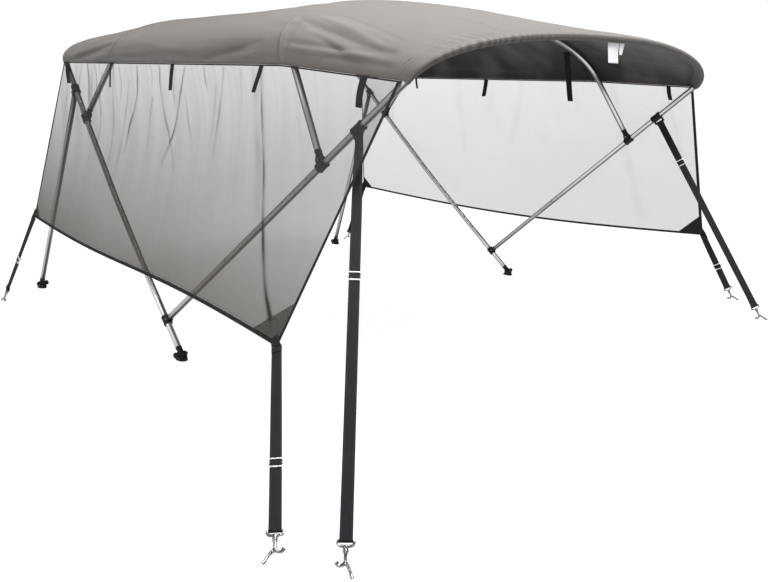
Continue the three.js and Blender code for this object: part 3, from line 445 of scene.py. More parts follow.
def thin_sheet(name, outer, out, thickness, finishes, tone=None, turned=None):
    """A closed sheet: its outer face, its inner face and a rim. finishes are outer, inner and rim, and a fourth
    for the rows of the outer face that turned marks."""
    rows, columns = outer.shape[:2]
    vertices = np.concatenate([outer.reshape(-1, 3), (outer - out * thickness).reshape(-1, 3)]) + BOAT
    shift = rows * columns
    base = np.arange(shift).reshape(rows, columns)
    quads = np.stack([base[:-1, :-1], base[:-1, 1:], base[1:, 1:], base[1:, :-1]], -1).reshape(-1, 4)
    loop = np.concatenate([base[0, :-1], base[:-1, -1], base[-1, :0:-1], base[:0:-1, 0]])
    following = np.roll(loop, -1)
    edge = np.stack([loop, loop + shift, following + shift, following], -1)
    if np.cross(outer[1, 0] - outer[0, 0], outer[0, 1] - outer[0, 0]) @ out[0, 0] > 0:
        quads, edge = quads[:, ::-1], edge[:, ::-1]
    faces = np.concatenate([quads, quads[:, ::-1] + shift, edge])
    face_kinds = np.zeros((rows - 1, columns - 1)) if turned is None else np.repeat(turned[:, None] * 3, columns - 1, 1)
    kinds = np.concatenate([face_kinds.ravel(), np.ones(len(quads)), np.full(len(edge), 2)]).astype(np.int32)
    uvs = np.tile(spread_uv(outer).reshape(-1, 2), (2, 1))
    made = object_from(name, vertices, faces, finishes, uvs, kinds)
    if tone is not None:
        made.data.attributes.new("tone", "FLOAT", "POINT").data.foreach_set("value", np.tile(tone.ravel(), 2))
    return made


def fit(made, slot, *nodes):
    """Sets a piece on the frame's one body, in place of its solids."""
    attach(made, "root")
    if nodes:
        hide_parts(*nodes)
    return made


WEAVE_PITCH, SEWING = 0.0022, {"pitch": 1 / 240, "thread": 0.0009, "share": 0.7}


def scaled(colour, by):
    return tint(*(by * part for part in colour[:3]))


def cloth_finish(name, dark, light, roughness, sewn=(), furrow=0.5, swoop_shade=0.0, lit_stretch=None):
    """Plain weave, with faint clouding and rows of stitches at some lengths. By its tone it is painted darker in
    its furrows as painted shade and lighter on its ridges as painted highlight, weighted by furrow. swoop_shade
    weights stretched clouds of painted shade, and lit_stretch is the middle and half the width of a painted pool
    of light across the cloth."""
    paint = Paint(name, Roughness=roughness, Specular_IOR_Level=0.15, Sheen_Weight=0.04, Sheen_Roughness=0.5)
    (u, v, _), (x, y, z) = paint.axes(paint.place()), paint.axes(paint.place("Object"))
    weave = paint.ribs(u, WEAVE_PITCH) * paint.ribs(v, WEAVE_PITCH)
    paint.raise_by(weave, 0.0004)
    tone = paint.attribute("tone", 2)
    drawn_out = paint.node("CombineXYZ", inputs={0: x * 2.0, 1: y * 0.45, 2: z * 1.6})
    cloudy = paint.noise(2.3, 4.0) * 0.5 + paint.noise(60, 2.0) * 0.2 + weave * 0.1 + 0.1
    cloudy = cloudy + (paint.noise(2.2, 2.0, drawn_out) - 0.5) * swoop_shade
    if lit_stretch:
        pale = paint.apply("SMOOTH_MAX", 1 - paint.apply("ABSOLUTE", (v - lit_stretch[0]) * (1 / lit_stretch[1])), 0.0, 0.6)
        cloudy = cloudy + pale * 1.3 - 0.45
    # Toward a darker copy of the cloth in furrows as painted shade, and toward a lighter one on ridges as painted
    # highlight
    cloth = paint.mix(furrow, paint.mix(cloudy, dark, light), paint.mix(tone, scaled(dark, 0.55), scaled(light, 1.3)))
    if sewn:
        cloth = paint.mix(paint.stitches(sewn, u, v, **SEWING) * 0.75, cloth, scaled(dark, 0.35))
    paint.feed("Base Color", cloth)
    return paint


cloth_uv = spread_uv(cloth_outer)
girths = cloth_uv[:, 0, 0]
first_row = len(aft_rows)
seams_at = [girths[first_row + int(np.argmin(abs(alongs - place)))] for place in (1, 2)]
folds_at = [girths[first_row] + SEAM_BACK, girths[first_row + len(alongs) - 1] - SEAM_BACK]
rows_sewn = (seams_at[0] - 0.005, seams_at[0] + 0.005, *folds_at)
# The rows turned back under the cloth, all but the three nearest to it on the tube, take a darker finish as painted
# shade
row_number = np.arange(len(all_rows) - 1)
shaded_rows = (row_number < first_row - 3) | (row_number >= len(all_rows) - len(fore_rows) + 3)
CANOPY_FINISHES = [
    cloth_finish("canopy_outside", tint(0.098, 0.090, 0.085), tint(0.142, 0.131, 0.125), 0.78, rows_sewn),
    # The inside is painted much darker than the outside as painted shade, with swoops of painted shade and a painted
    # pool of light toward port
    cloth_finish(
        "canopy_inside", tint(0.012, 0.0100, 0.0088), tint(0.100, 0.092, 0.086), 0.9, (), 0.35, 3.0, (1.65, 0.55)
    ),
    cloth_finish("canopy_rim", tint(0.010, 0.009, 0.009), tint(0.018, 0.016, 0.016), 0.9),
    cloth_finish("canopy_turned_shaded", tint(0.050, 0.045, 0.042), tint(0.085, 0.078, 0.074), 0.85, furrow=0.6),
]
canopy = thin_sheet("canopy", cloth_outer, cloth_out, SHEET, CANOPY_FINISHES, cloth_tone, shaded_rows)
fit(canopy, "canopy_cloth", "canopy_aft_panel", "canopy_middle_panel", "canopy_fore_panel")

# Bows and poles. Drawn aluminium tube, 25.4 mm outside, bent to an arch at the top with straight legs down to
# nylon eye ends. The long legs are joined from two lengths at a sleeve held by spring buttons.
LEG_BULGE, LEG_PIECES, LEG_CORNER = -0.035, 4, 0.06
HINGE = np.array([-0.020, 1.212, 0.025])
INNER_BOW_INSET = TUBE + CLOTH + 0.010
# How far each kind of eye end reaches from its pin, and the gap between its collar and the tube
STUB = {"low": 0.034, "aft_inner": 0.058, "fore_inner": 0.058, "pole": 0.034, "foot": 0.036}
TUBE_GAP = 0.0003
EAST, NORTH, ZENITH = np.eye(3)
# The two sides, with the lower corners of their walls and the jaws' places as shares of their legs
SIDES = [
    {
        "name": "starboard", "sign": -1, "sag": 0.0, "wave": 0.014, "hang": 0.062, "shift": 0.042,
        "rear_foot": (-1.625, -1.009), "wall_aft": (-1.233, -1.215, 0.464), "wall_fore": (0.975, -1.547, 0.352),
        "jaws": {"low": 0.1, "aft_inner": 0.782, "pole": 0.893, "fore_inner": 0.714, "strap": 0.845},
    },
    {
        "name": "port", "sign": 1, "sag": 0.045, "wave": 0.0, "hang": 0.045, "shift": 0.070,
        "rear_foot": (-1.480, 1.150), "wall_aft": (-1.258, 1.204, 0.433), "wall_fore": (1.060, 1.513, 0.359),
        "jaws": {"low": 0.097, "aft_inner": 0.8, "pole": 0.915, "fore_inner": 0.725, "strap": 0.847},
    },
]


def arch_centre(index, across):
    """The middle of a bow's tube under the cloth."""
    across = np.asarray(across, float)
    if index in (0, 3):
        return pocket_frame(float(index), across, 1)[0]
    out = cloth_frame(float(index), across)[2]
    centre = arch(np.full(across.shape, index), across) - out * INNER_BOW_INSET
    if index == 2:
        shoulder = np.abs(2 * across - 1) ** 3
        centre[..., 0] += np.where(across < 0.5, SIDES[0]["shift"], SIDES[1]["shift"]) * shoulder
    return centre


def leg_top(index, side):
    return arch_centre(index, np.array([float(side)]))[0]


def hinge_at(side):
    return HINGE * (1, SIDES[side]["sign"], 1)


def aft_leg(side, share):
    point = hinge_at(side) * (1 - share) + leg_top(0, side) * share
    piece = min(math.floor(share * LEG_PIECES), LEG_PIECES - 1)
    low, high = (math.sin(end * math.pi / LEG_PIECES) for end in (piece, piece + 1))
    point[0] += LEG_BULGE * (low + (high - low) * (share * LEG_PIECES - piece))
    return point


def fore_leg(side, share):
    return aft_leg(side, SIDES[side]["jaws"]["low"]) * (1 - share) + leg_top(3, side) * share


def on_leg(leg, side, share):
    """A point on a leg, and the leg's direction there."""
    return leg(side, share), unit(leg(side, share + 0.01) - leg(side, share - 0.01))


def jaw_at(side, jaw):
    return on_leg(aft_leg if jaw in ("low", "aft_inner", "pole") else fore_leg, side, SIDES[side]["jaws"][jaw])


def rounded(points, radius, steps=7):
    """The same line with its corners eased over a length of the given radius."""
    line = [points[0]]
    for before, corner, after in zip(points[:-2], points[1:-1], points[2:]):
        ease = min(radius, 0.45 * np.linalg.norm(corner - before), 0.45 * np.linalg.norm(after - corner))
        start, stop = (corner + unit(other - corner) * ease for other in (before, after))
        line += [(1 - t) ** 2 * start + 2 * t * (1 - t) * corner + t**2 * stop for t in np.linspace(0, 1, steps)]
    return np.array([*line, points[-1]])


def circle(radius, ring, waves=1.0):
    turns = np.linspace(0, 2 * math.pi, ring, endpoint=False)
    return np.stack([np.cos(turns), np.sin(turns)], -1) * radius * np.broadcast_to(waves, ring)[:, None]


def sweep(points, sections, reference, tangent=None, closed=False, ring=28):
    """Points, UVs and faces of a bar along a line. sections is one radius, a radius for each point, or a
    shape for each point."""
    points, reference = np.asarray(points, float), np.asarray(reference, float)
    if tangent is not None:
        tangent = np.broadcast_to(tangent, points.shape)
    elif closed:
        tangent = unit(np.roll(points, -1, axis=0) - np.roll(points, 1, axis=0))
    else:
        tangent = unit(np.gradient(points, axis=0))
    side = unit(reference - tangent * (tangent @ reference)[:, None])
    up = np.cross(side, tangent)
    if np.isscalar(sections):
        sections = [sections] * len(points)
    shapes = np.array([circle(size, ring) if np.isscalar(size) else size for size in sections])
    vertices = points[:, None] + side[:, None] * shapes[..., :1] + up[:, None] * shapes[..., 1:]
    count, last = shapes.shape[1], len(points) - 1
    uvs = np.stack(np.broadcast_arrays(running(step_lengths(points))[:, None], np.arange(count) / count * 0.08), -1)
    places = np.arange(vertices[..., 0].size).reshape(-1, count)
    low, high = (places, np.roll(places, -1, axis=0)) if closed else (places[:-1], places[1:])
    faces = np.stack([low, high, np.roll(high, -1, axis=1), np.roll(low, -1, axis=1)], -1).reshape(-1, 4).tolist()
    if not closed:
        faces += [places[0].tolist(), places[last][::-1].tolist()]
    return vertices.reshape(-1, 3), uvs.reshape(-1, 2), faces


# The way to the strongest light, and the level way across the photograph, which the straps lie along
TOWARD_LIGHT, FACING = unit(np.array([0.65, -0.72, 0.24])), np.array([0.745, 0.667, 0.0])


def tube(name, points):
    """An aluminium tube along a line. Its round attribute says which way round the tube each point lies, for the
    painted reflections.
    """
    vertices, uvs, faces = sweep(points, TUBE, EAST)
    made = object_from(f"{name}_tube", vertices + BOAT, faces, [aluminium], uvs)
    points, rings = np.asarray(points, float), vertices.reshape(len(points), -1, 3)
    radial, tangent = unit(rings - points[:, None]), unit(np.gradient(points, axis=0))
    lit = unit(TOWARD_LIGHT - tangent * (tangent @ TOWARD_LIGHT)[:, None])[:, None]
    beside = np.cross(lit, tangent[:, None])
    beside = beside * np.sign(beside @ FACING + 1e-9)[..., None]
    round_it = np.stack([(radial * lit).sum(-1), (radial * beside).sum(-1), np.zeros(rings.shape[:2])], -1)
    made.data.attributes.new("round", "FLOAT_VECTOR", "POINT").data.foreach_set("vector", round_it.ravel())
    fit(made, "aluminium", name)


aluminium = Paint("drawn_aluminium", Metallic=0.92, Roughness=0.32, Specular_IOR_Level=0.5)
tube_u, tube_v, _ = aluminium.axes(aluminium.place())
drawn = aluminium.noise(1.0, 2.0, aluminium.node("CombineXYZ", inputs={0: tube_u * 1.5, 1: tube_v * 900, 2: 0.0}))
# Painted reflections: lengthwise bands fixed on the tube, light along the middle of the lit side with a thin dark line
# beside it
cosine, sine, _ = aluminium.axes(aluminium.attribute("round", 1))


def painted_reflection_band(turn, sharpness):
    """A painted reflection: a lengthwise band at a turn round the tube, in degrees from the lit side."""
    near = cosine * math.cos(math.radians(turn)) + sine * math.sin(math.radians(turn))
    return (near * 0.5 + 0.5) ** sharpness


painted_reflections = painted_reflection_band(-14, 9.0) * 0.8 + painted_reflection_band(166, 9.0) * 0.8 + aluminium.noise(9) * 0.1 + 0.18
painted_reflections = painted_reflections - painted_reflection_band(38, 60.0) * 0.62 - painted_reflection_band(-64, 40.0) * 0.3
aluminium.colour(painted_reflections, tint(0.075, 0.075, 0.08), tint(0.68, 0.68, 0.69))
aluminium.feed("Roughness", drawn * 0.16 + 0.24)
aluminium.raise_by(drawn, 0.0002, 0.4)

# Each bow: its number, where its feet are held, the kind of eye end there and the bends in its legs
BOWS = [
    ("bow_aft", 0, hinge_at, "foot", (1, 2, 3)),
    ("bow_aft_inner", 1, lambda side: jaw_at(side, "aft_inner")[0], "aft_inner", ()),
    ("bow_fore_inner", 2, lambda side: jaw_at(side, "fore_inner")[0], "fore_inner", ()),
    ("bow_fore", 3, lambda side: jaw_at(side, "low")[0], "low", ()),
]
arch_steps = np.interp(np.linspace(0, reach_over[-1], 61), reach_over, fine)


def leg_points(side, index, foot, stub, bends):
    bent = [aft_leg(side, piece / LEG_PIECES) for piece in bends]
    first = bent[0] if bent else leg_top(index, side)
    return [foot + unit(first - foot) * (STUB[stub] + TUBE_GAP), *bent]


for name, index, foot_of, stub, bends in BOWS:
    legs = [leg_points(side, index, foot_of(side), stub, bends) for side in (0, 1)]
    tube(name, rounded([*legs[0], *arch_centre(index, arch_steps), *legs[1][::-1]], LEG_CORNER))

POLE_FEET = [np.array([*side["rear_foot"], HINGE[2]]) for side in SIDES]
for side, foot in enumerate(POLE_FEET):
    top = jaw_at(side, "pole")[0]
    way = unit(top - foot)
    ends = [foot + way * (STUB["foot"] + TUBE_GAP), top - way * (STUB["pole"] + TUBE_GAP)]
    tube(f"rear_pole_{SIDES[side]['name']}", ends)

# Joints in the long legs. Each leg is two tubes slid together and held by a sprung brass button that stands
# through a hole, with the rolled lip of the outer tube just above it.
JOINTS = [(0, "aft", 0.535), (1, "aft", 0.53), (0, "fore", 0.31), (1, "fore", 0.35)]
LIP = [(0, TUBE), (0.0004, TUBE + 0.0006), (0.0035, TUBE + 0.0007), (0.006, TUBE + 0.0002), (0.007, TUBE)]
BUTTON = [(0, 0.0036), (0.0006, 0.0036), (0.0018, 0.003), (0.0024, 0.0015), (0.0025, 0.0002)]
BUTTON_BELOW, BUTTON_SUNK = 0.02, 0.0002
brass = Paint("spring_button", Metallic=0.8, Roughness=0.35)
brass.colour(brass.noise(300), tint(0.42, 0.2, 0.1), tint(0.55, 0.3, 0.16))


class Fitting:
    """Gathers rounded plates, turned parts and bent bars into one piece. Each has its own finish."""

    def __init__(self, name, *finishes):
        self.name, self.finishes = name, finishes
        self.vertices, self.faces, self.kinds = [], [], []

    def take(self, vertices, faces, kind=0):
        first = len(self.vertices)
        self.vertices += [tuple(v) for v in vertices]
        self.faces += [tuple(first + number for number in face) for face in faces]
        self.kinds += [kind] * len(faces)

    def plate(self, outline, centre, axes, thickness, soften):
        """A plate cut to an outline. axes are the outline's own two directions and the one through it."""
        shape = bmesh.new()
        face = shape.faces.new([shape.verts.new((x, y, -thickness / 2)) for x, y in outline])
        lifted = bmesh.ops.extrude_face_region(shape, geom=[face])["geom"]
        risen = [part for part in lifted if isinstance(part, bmesh.types.BMVert)]
        bmesh.ops.translate(shape, vec=(0, 0, thickness), verts=risen)
        rims = [edge for edge in shape.edges if abs(edge.verts[0].co.z - edge.verts[1].co.z) < 1e-7]
        bmesh.ops.bevel(shape, geom=rims, offset=soften, segments=3, profile=0.5, affect="EDGES")
        bmesh.ops.recalc_face_normals(shape, faces=shape.faces)
        shape.verts.index_update()
        placed = np.array([v.co for v in shape.verts]) @ np.array(axes, float) + centre
        turn = -1 if np.linalg.det(np.array(axes, float)) < 0 else 1
        self.take(placed, [[v.index for v in face.verts][::turn] for face in shape.faces])
        shape.free()

    def turned(self, start, direction, profile, kind=0, ring=32, lobes=0, depth=0.0):
        """A lathe-turned form with closed ends: profile holds (distance along, radius)."""
        direction = unit(np.asarray(direction, float))
        points = [np.asarray(start) + direction * distance for distance, _ in profile]
        waves = 1 - depth * (0.5 - 0.5 * np.cos(np.linspace(0, 2 * math.pi, ring, endpoint=False) * lobes))
        circles = [circle(radius, ring, waves) for _, radius in profile]
        vertices, _, faces = sweep(points, circles, EAST if abs(direction[0]) < 0.8 else NORTH, tangent=direction)
        self.take(vertices, faces, kind)

    def bar(self, points, radius, reference, closed=False, ring=16):
        vertices, _, faces = sweep(points, radius, reference, closed=closed, ring=ring)
        self.take(vertices, faces)

    def finish(self, slot, *nodes):
        made = object_from(
            self.name, np.array(self.vertices) + BOAT, self.faces, self.finishes, finish_of=self.kinds
        )
        made.modifiers.new("flats", "WEIGHTED_NORMAL")
        return fit(made, slot, *nodes)


for side, leg, share in JOINTS:
    point, way = on_leg(aft_leg if leg == "aft" else fore_leg, side, share)
    joint = Fitting(f"tube_joint_{SIDES[side]['name']}_{leg}", aluminium, brass)
    joint.turned(point, way, LIP)
    out = unit(np.cross(way, ZENITH) * -SIDES[side]["sign"])
    joint.turned(point - way * BUTTON_BELOW + out * (TUBE - BUTTON_SUNK), out, BUTTON, kind=1, ring=20)
    joint.finish("aluminium")

# Deck hinges. Black moulded nylon: an oval base screwed to the deck, two lugs, the eye end that plugs the tube
# and turns between them, and a steel pin through all three with a lobed thumb knob on one end.
nylon = Paint("moulded_nylon", Roughness=0.46, Specular_IOR_Level=0.2)
scuffs = nylon.noise(40, 4.0)
nylon.colour(scuffs, tint(0.003, 0.003, 0.0033), tint(0.009, 0.009, 0.0095))
nylon.feed("Roughness", scuffs * 0.3 + 0.3)
nylon.raise_by(nylon.noise(900, 2.0), 0.0003, 0.5)

steel = Paint("plated_steel", Metallic=1.0, Roughness=0.22)
cast = steel.noise(160)
steel.colour((cast - 0.5) * 2.4 + 0.5, tint(0.045, 0.043, 0.041), tint(0.40, 0.39, 0.38))
steel.feed("Roughness", cast * 0.22 + 0.12)
steel.raise_by(cast, 0.0006, 0.35)

EYE_RADIUS, EYE_HALF, EYE_THICK = 0.0135, 0.0115, 0.017
BASE, BOSS, LUG = (0.030, 0.021), (0.019, 0.0195, 3.5), (0.0165, -0.0185, 0.0125)
BASE_THICK, BOSS_THICK, LUG_THICK, LUG_OUT, SCREW_OUT = 0.006, 0.005, 0.0065, 0.0165, 0.0235
SCREW = [(0, 0.0042), (0.0007, 0.0042), (0.0015, 0.0036), (0.0017, 0.001)]
PIN_HEAD = [(0.0195, 0.0075), (0.0225, 0.0078), (0.0265, 0.0074), (0.0285, 0.0055), (0.029, 0.001)]
KNOB = [(0.0195, 0.0075), (0.0215, 0.0075), (0.0219, 0.0118), (0.0235, 0.0130), (0.0325, 0.0130)]
KNOB += [(0.0348, 0.0120), (0.036, 0.009), (0.0363, 0.001)]


def oval(half_length, half_width, power=2.4):
    shape = circle(1, 36)
    return (half_length, half_width) * np.sign(shape) * np.abs(shape) ** (2 / power)


def tongue(half_width, base, radius):
    """The outline of a lug: square at its base and round about the pin."""
    turns = np.radians(np.linspace(-8, 188, 13))
    return [(-half_width, base), (half_width, base), *((radius * math.cos(t), radius * math.sin(t)) for t in turns)]


def eye_end(fitting, pivot, up, across, stub):
    """The plug in a tube's end: a flat eye about the pin, a neck and a collar against the tube."""
    eye = tongue(EYE_HALF, -(stub - 0.014), EYE_RADIUS)
    fitting.plate(eye, pivot, (np.cross(across, up), -up, across), EYE_THICK, 0.002)
    profile = [(stub - 0.024, 0.006), (stub - 0.020, 0.0116), (stub - 0.010, 0.0124), (stub - 0.009, 0.0138)]
    fitting.turned(pivot, up, [*profile, (stub - 0.0012, 0.0140), (stub - 0.0002, 0.0134), (stub, 0.012)])


def deck_hinge(name, pivot, toward, knob_side):
    fitting = Fitting(f"{name}_moulding", nylon, steel)
    ground, flat = pivot * (1, 1, 0), (EAST, NORTH, ZENITH)
    fitting.plate(oval(*BASE), ground + ZENITH * BASE_THICK / 2, flat, BASE_THICK, 0.0016)
    fitting.plate(oval(*BOSS), ground + ZENITH * 0.0065, flat, BOSS_THICK, 0.0014)
    for end in (-1, 1):
        fitting.turned(ground + EAST * end * SCREW_OUT + ZENITH * 0.0055, ZENITH, SCREW, kind=1)
        fitting.plate(tongue(*LUG), pivot + NORTH * end * LUG_OUT, (EAST, ZENITH, -NORTH), LUG_THICK, 0.0016)
    eye_end(fitting, pivot, unit(toward - pivot), NORTH, STUB["foot"])
    fitting.turned(pivot, NORTH * -knob_side, PIN_HEAD)
    fitting.turned(pivot, NORTH * knob_side, KNOB, lobes=6, depth=0.16)
    fitting.finish("nylon", name)


for side, boat_side in enumerate(SIDES):
    name, inboard = f"deck_hinge_{boat_side['name']}", -boat_side["sign"]
    deck_hinge(f"{name}_main", hinge_at(side), aft_leg(side, 1 / LEG_PIECES), -inboard)
    deck_hinge(f"{name}_rear", POLE_FEET[side], jaw_at(side, "pole")[0], inboard)

# Jaw slides. Black moulded nylon: a split collar clamped round a leg, two cheeks that stand off it, and between
# them the eye end of the tube that it holds, on a steel screw.
JAW_RADIUS, JAW_LENGTH = 0.0192, 0.042
CHEEK_OUT, CHEEK = 0.0120, 0.006
CHEEK_SCREW = [(0, 0.0040), (0.0006, 0.0044), (0.0015, 0.0042), (0.0021, 0.003), (0.0022, 0.0005)]


def jaw_collar(fitting, point, axis, length):
    half = length / 2
    lower = [(-half, 0.0128), (-half, JAW_RADIUS - 0.001), (-half + 0.0012, JAW_RADIUS)]
    lower += [(-half + 0.007, JAW_RADIUS), (-half + 0.0085, JAW_RADIUS - 0.0008)]
    fitting.turned(point, axis, [*lower, *((-distance, radius) for distance, radius in lower[::-1])], ring=40)


def jaw_slide(name, side, jaw, toward):
    point, axis = jaw_at(side, jaw)
    away = unit(toward - point)
    across = unit(np.cross(axis, away))
    fitting = Fitting(f"{name}_moulding", nylon, steel)
    jaw_collar(fitting, point, axis, JAW_LENGTH)
    pivot = point + away * min(STUB[jaw] * 0.42, 0.022)
    reach = np.linalg.norm(pivot - point)
    cheek = tongue(0.0142, -reach + 0.002, 0.0135)
    for end in (-1, 1):
        axes = (np.cross(across, away), away, -across)
        fitting.plate(cheek, pivot + across * end * CHEEK_OUT, axes, CHEEK, 0.0014)
        fitting.turned(pivot + across * end * (CHEEK_OUT + 0.0028), across * end, CHEEK_SCREW, kind=1, ring=24)
    eye_end(fitting, pivot, away, across, STUB[jaw] - reach)
    fitting.finish("nylon", name)


for side, boat_side in enumerate(SIDES):
    held = {"low": leg_top(3, side), "aft_inner": leg_top(1, side), "fore_inner": leg_top(2, side)}
    for jaw, toward in {**held, "pole": POLE_FEET[side]}.items():
        jaw_slide(f"jaw_{boat_side['name']}_{jaw}", side, jaw, toward)

# Side walls. Fine knitted mesh, sewn under the canopy's hem from front to back and drawn down to its two lower
# corners. Both are one mesh, painted dark to starboard as painted shade and pale to port as painted light. It gathers
# in pleats under the hem.
WALL_ENDS = (0.02, 2.985)
MESH, SPAN, HEM_GAP = 0.0015, {"length": 2.230, "height": 0.760}, 0.0003
# Pleats hang from the hem. Each is a line of (place along the hem, share of the way down) in thousandths, half
# its width and its height in millimetres, and how much darker the mesh is painted in it, partly for the denser look
# of folded mesh and partly as painted shade.
PLEATS = [
    [
        ([(28, 10), (22, 160), (10, 340)], 8, 3, 0.5), ([(55, 30), (50, 140), (36, 280)], 7, -3, 0.5),
        ([(80, 20), (66, 160), (58, 380)], 10, 3, 0.35), ([(103, 10), (112, 100), (104, 260)], 7, 3.6, 1),
        ([(119, 40), (112, 220), (104, 460)], 10, -2.8, 0.35), ([(133, 10), (142, 100), (132, 200)], 6, 3.2, 0.75),
        ([(163, 60), (148, 180), (152, 340), (130, 500)], 8, 3.4, 0.6),
        ([(180, 10), (188, 70), (180, 160)], 6, -3, 0.55),
        ([(207, 20), (198, 180), (200, 360), (184, 580)], 11, 3, 0.35),
        ([(226, 20), (232, 90), (222, 220)], 7, -3.2, 0.6),
        ([(297, 20), (296, 100), (289, 200), (256, 340), (240, 480)], 8, 4.2, 1),
        ([(262, 100), (240, 260), (222, 440), (214, 620)], 12, -3, 0.3),
        ([(345, 10), (350, 60), (343, 120)], 6, 2.6, 0.7),
        ([(379, 20), (374, 120), (380, 260), (400, 400), (412, 520)], 8, 3.6, 0.7),
        ([(340, 180), (322, 300), (318, 480)], 12, -2.8, 0.3),
        ([(463, 20), (448, 100), (432, 200), (412, 340), (372, 500)], 8, 4.2, 0.95),
        ([(452, 140), (455, 280), (470, 420)], 10, -3, 0.4), ([(428, 30), (420, 90), (414, 220)], 8, 2.4, 0.35),
        ([(524, 20), (522, 70), (526, 130)], 7, 3.2, 0.7),
        ([(582, 20), (572, 120), (548, 300), (535, 420)], 10, 3.2, 0.5),
        ([(552, 100), (540, 220), (520, 400)], 12, -2.4, 0.25), ([(630, 30), (622, 220)], 14, 2.4, 0.2),
        ([(690, 0), (676, 250), (682, 450), (693, 640), (722, 840), (744, 925)], 14, 7, 0.75),
        ([(668, 0), (655, 250), (662, 450), (672, 640)], 34, -6, 0.25),
        ([(774, 20), (772, 160), (770, 300)], 14, 2.4, 0.15),
    ],
    [
        ([(120, 0), (90, 300), (70, 500)], 14, 4, 0.3), ([(350, 0), (310, 400), (280, 700)], 30, -4, 0.15),
        ([(460, 0), (400, 300)], 24, 3.5, 0.12), ([(550, 0), (480, 300), (420, 500)], 26, 4, 0.15),
        ([(700, 0), (660, 250)], 20, -3, 0.12), ([(800, 0), (720, 500), (660, 900)], 32, 5, 0.2),
        ([(930, 0), (880, 300), (820, 600)], 16, 3, 0.25),
    ],
]


def smooth_line(points, rounds=3):
    """Rounds a line of points off by cutting its corners."""
    line = [np.asarray(point, float) for point in points]
    for _ in range(rounds):
        cut = [line[0]]
        for before, after in zip(line[:-1], line[1:]):
            cut += [before * 0.75 + after * 0.25, before * 0.25 + after * 0.75]
        line = [*cut, line[-1]]
    return np.array(line)


def hem_share(share):
    """The canopy's sections are not evenly spaced, so a share of the length becomes a count of them."""
    x = X[0] + share * LENGTH
    index = np.clip(np.searchsorted(X, x, side="right") - 1, 0, 2)
    return (index + (x - X[index]) / (X[index + 1] - X[index])) / 3


def wall_smooth(side, along, down):
    shape = SIDES[side]
    top = smooth_cloth(WALL_ENDS[0] + (WALL_ENDS[1] - WALL_ENDS[0]) * hem_share(along), float(side))
    aft, fore = np.array(shape["wall_aft"]), np.array(shape["wall_fore"])
    foot = aft + (fore - aft) * along[..., None]
    foot[..., 2] -= shape["sag"] * np.sin(math.pi * along) + shape["wave"] * np.sin(2 * math.pi * along)
    point = (top - (0, 0, HEM_GAP)) * (1 - down[..., None]) + foot * down[..., None]
    hang = np.sin(math.pi * down) * np.maximum(np.sin(math.pi * along), 0) ** 0.7
    point[..., 1] -= shape["sign"] * shape["hang"] * hang
    return point


def wall_out(side, along, down, step=0.004):
    """The unit direction out of a wall."""
    before, after = np.maximum(along - step, 0), np.minimum(along + step, 1)
    upper, lower = np.maximum(down - step, 0), np.minimum(down + step, 1)
    forward = wall_smooth(side, after, down) - wall_smooth(side, before, down)
    out = unit(np.cross(forward, wall_smooth(side, along, lower) - wall_smooth(side, along, upper)))
    return out * np.sign(out[..., 1:2]) * SIDES[side]["sign"]


def wall_relief(side, along, down):
    """How far the mesh stands off its smooth shape, and how much darker it is painted there, from 0 to 1, partly
    for the denser look of folded mesh and partly as painted shade.
    """
    # The wall is longer at its foot than at the hem, so a plumb line leans in the wall's own shares
    x, z = (along - 0.09 * down) / (1 + 0.19 * down) * LENGTH, down * SPAN["height"]
    rise, tone = np.zeros(along.shape), np.zeros(along.shape)
    for number, (line, width, height, dark) in enumerate(PLEATS[side]):
        strongest = np.zeros(along.shape)
        places = smooth_line(np.array(line) / 1000, 2) * (LENGTH, SPAN["height"])
        near_by = np.abs(x - places[:, 0].mean()) < np.ptp(places[:, 0]) / 2 + 0.09
        for start, run in zip(places[:-1], np.diff(places, axis=0)):
            x_way, z_way = x[near_by] - start[0], z[near_by] - start[1]
            way = np.clip((x_way * run[0] + z_way * run[1]) / (run @ run), 0, 1)
            near = np.hypot(x_way - way * run[0], z_way - way * run[1])
            strongest[near_by] = np.maximum(strongest[near_by], bump(near / (2.2 * width / 1000)))
        end = line[-1][1] / 1000
        fade = np.clip((end - down) / (0.3 * end), 0, 1) if end < 0.9 else 1.0
        uneven = 0.72 + 0.28 * np.sin(down * 26 + number * 2.4)
        rise = rise + height / 1000 * strongest * fade
        tone = tone + dark * strongest**6 * fade * uneven + 0.12 * dark * strongest
    # Fine upright puckers under the hem, fewer toward the front, and slow waves lower down
    lean = x + 0.012 * np.sin(down * 9 + 5 * along)
    fine_ones = ripple(lean, 88, 2.5, 23) + 0.6 * ripple(lean, 151, 2, 11)
    strength = np.exp(-down / 0.30) * (1 - 0.85 * along) * (1 - 0.7 * side)
    slow = np.sin(lean * 31 + 1.7 * np.sin(down * 4 + side)) * bell(down - 0.45, 0.4)
    streaks = ripple(lean, 47, 1.3, 7) * bell(down - 0.25, 0.35) * (1 - 0.8 * along)
    rise = rise + 0.0020 * strength * fine_ones + 0.0014 * slow
    # The puckers and slow streaks are painted darker as painted shade, and the whole wall a little darker, more so to
    # starboard
    tone = tone + 0.10 * strength * np.maximum(fine_ones, 0) ** 2 + 0.07 * (1 - 0.7 * side) * (1 + streaks)
    free = np.minimum(np.minimum(1, 10 * down * (1 - down)), 12 * along * (1 - along))
    return rise * np.maximum(free, 0), np.clip(tone, 0, 1)


def wall_point(side, along, down, pleated=True):
    along, down = matched(along, down)
    point, out = wall_smooth(side, along, down), wall_out(side, along, down)
    if pleated:
        point = point + out * wall_relief(side, along, down)[0][..., None]
    return point, out


# The mesh stops at the seam of the binding, so these are the widths of the binding that show, as shares
AFT, FORE = 0.007 / SPAN["length"], 1 - 0.014 / SPAN["length"]
TOP, FOOT = 0.005 / SPAN["height"], 1 - 0.012 / SPAN["height"]


KNIT_PITCH, KNIT_SHARE = 0.0016, 0.06


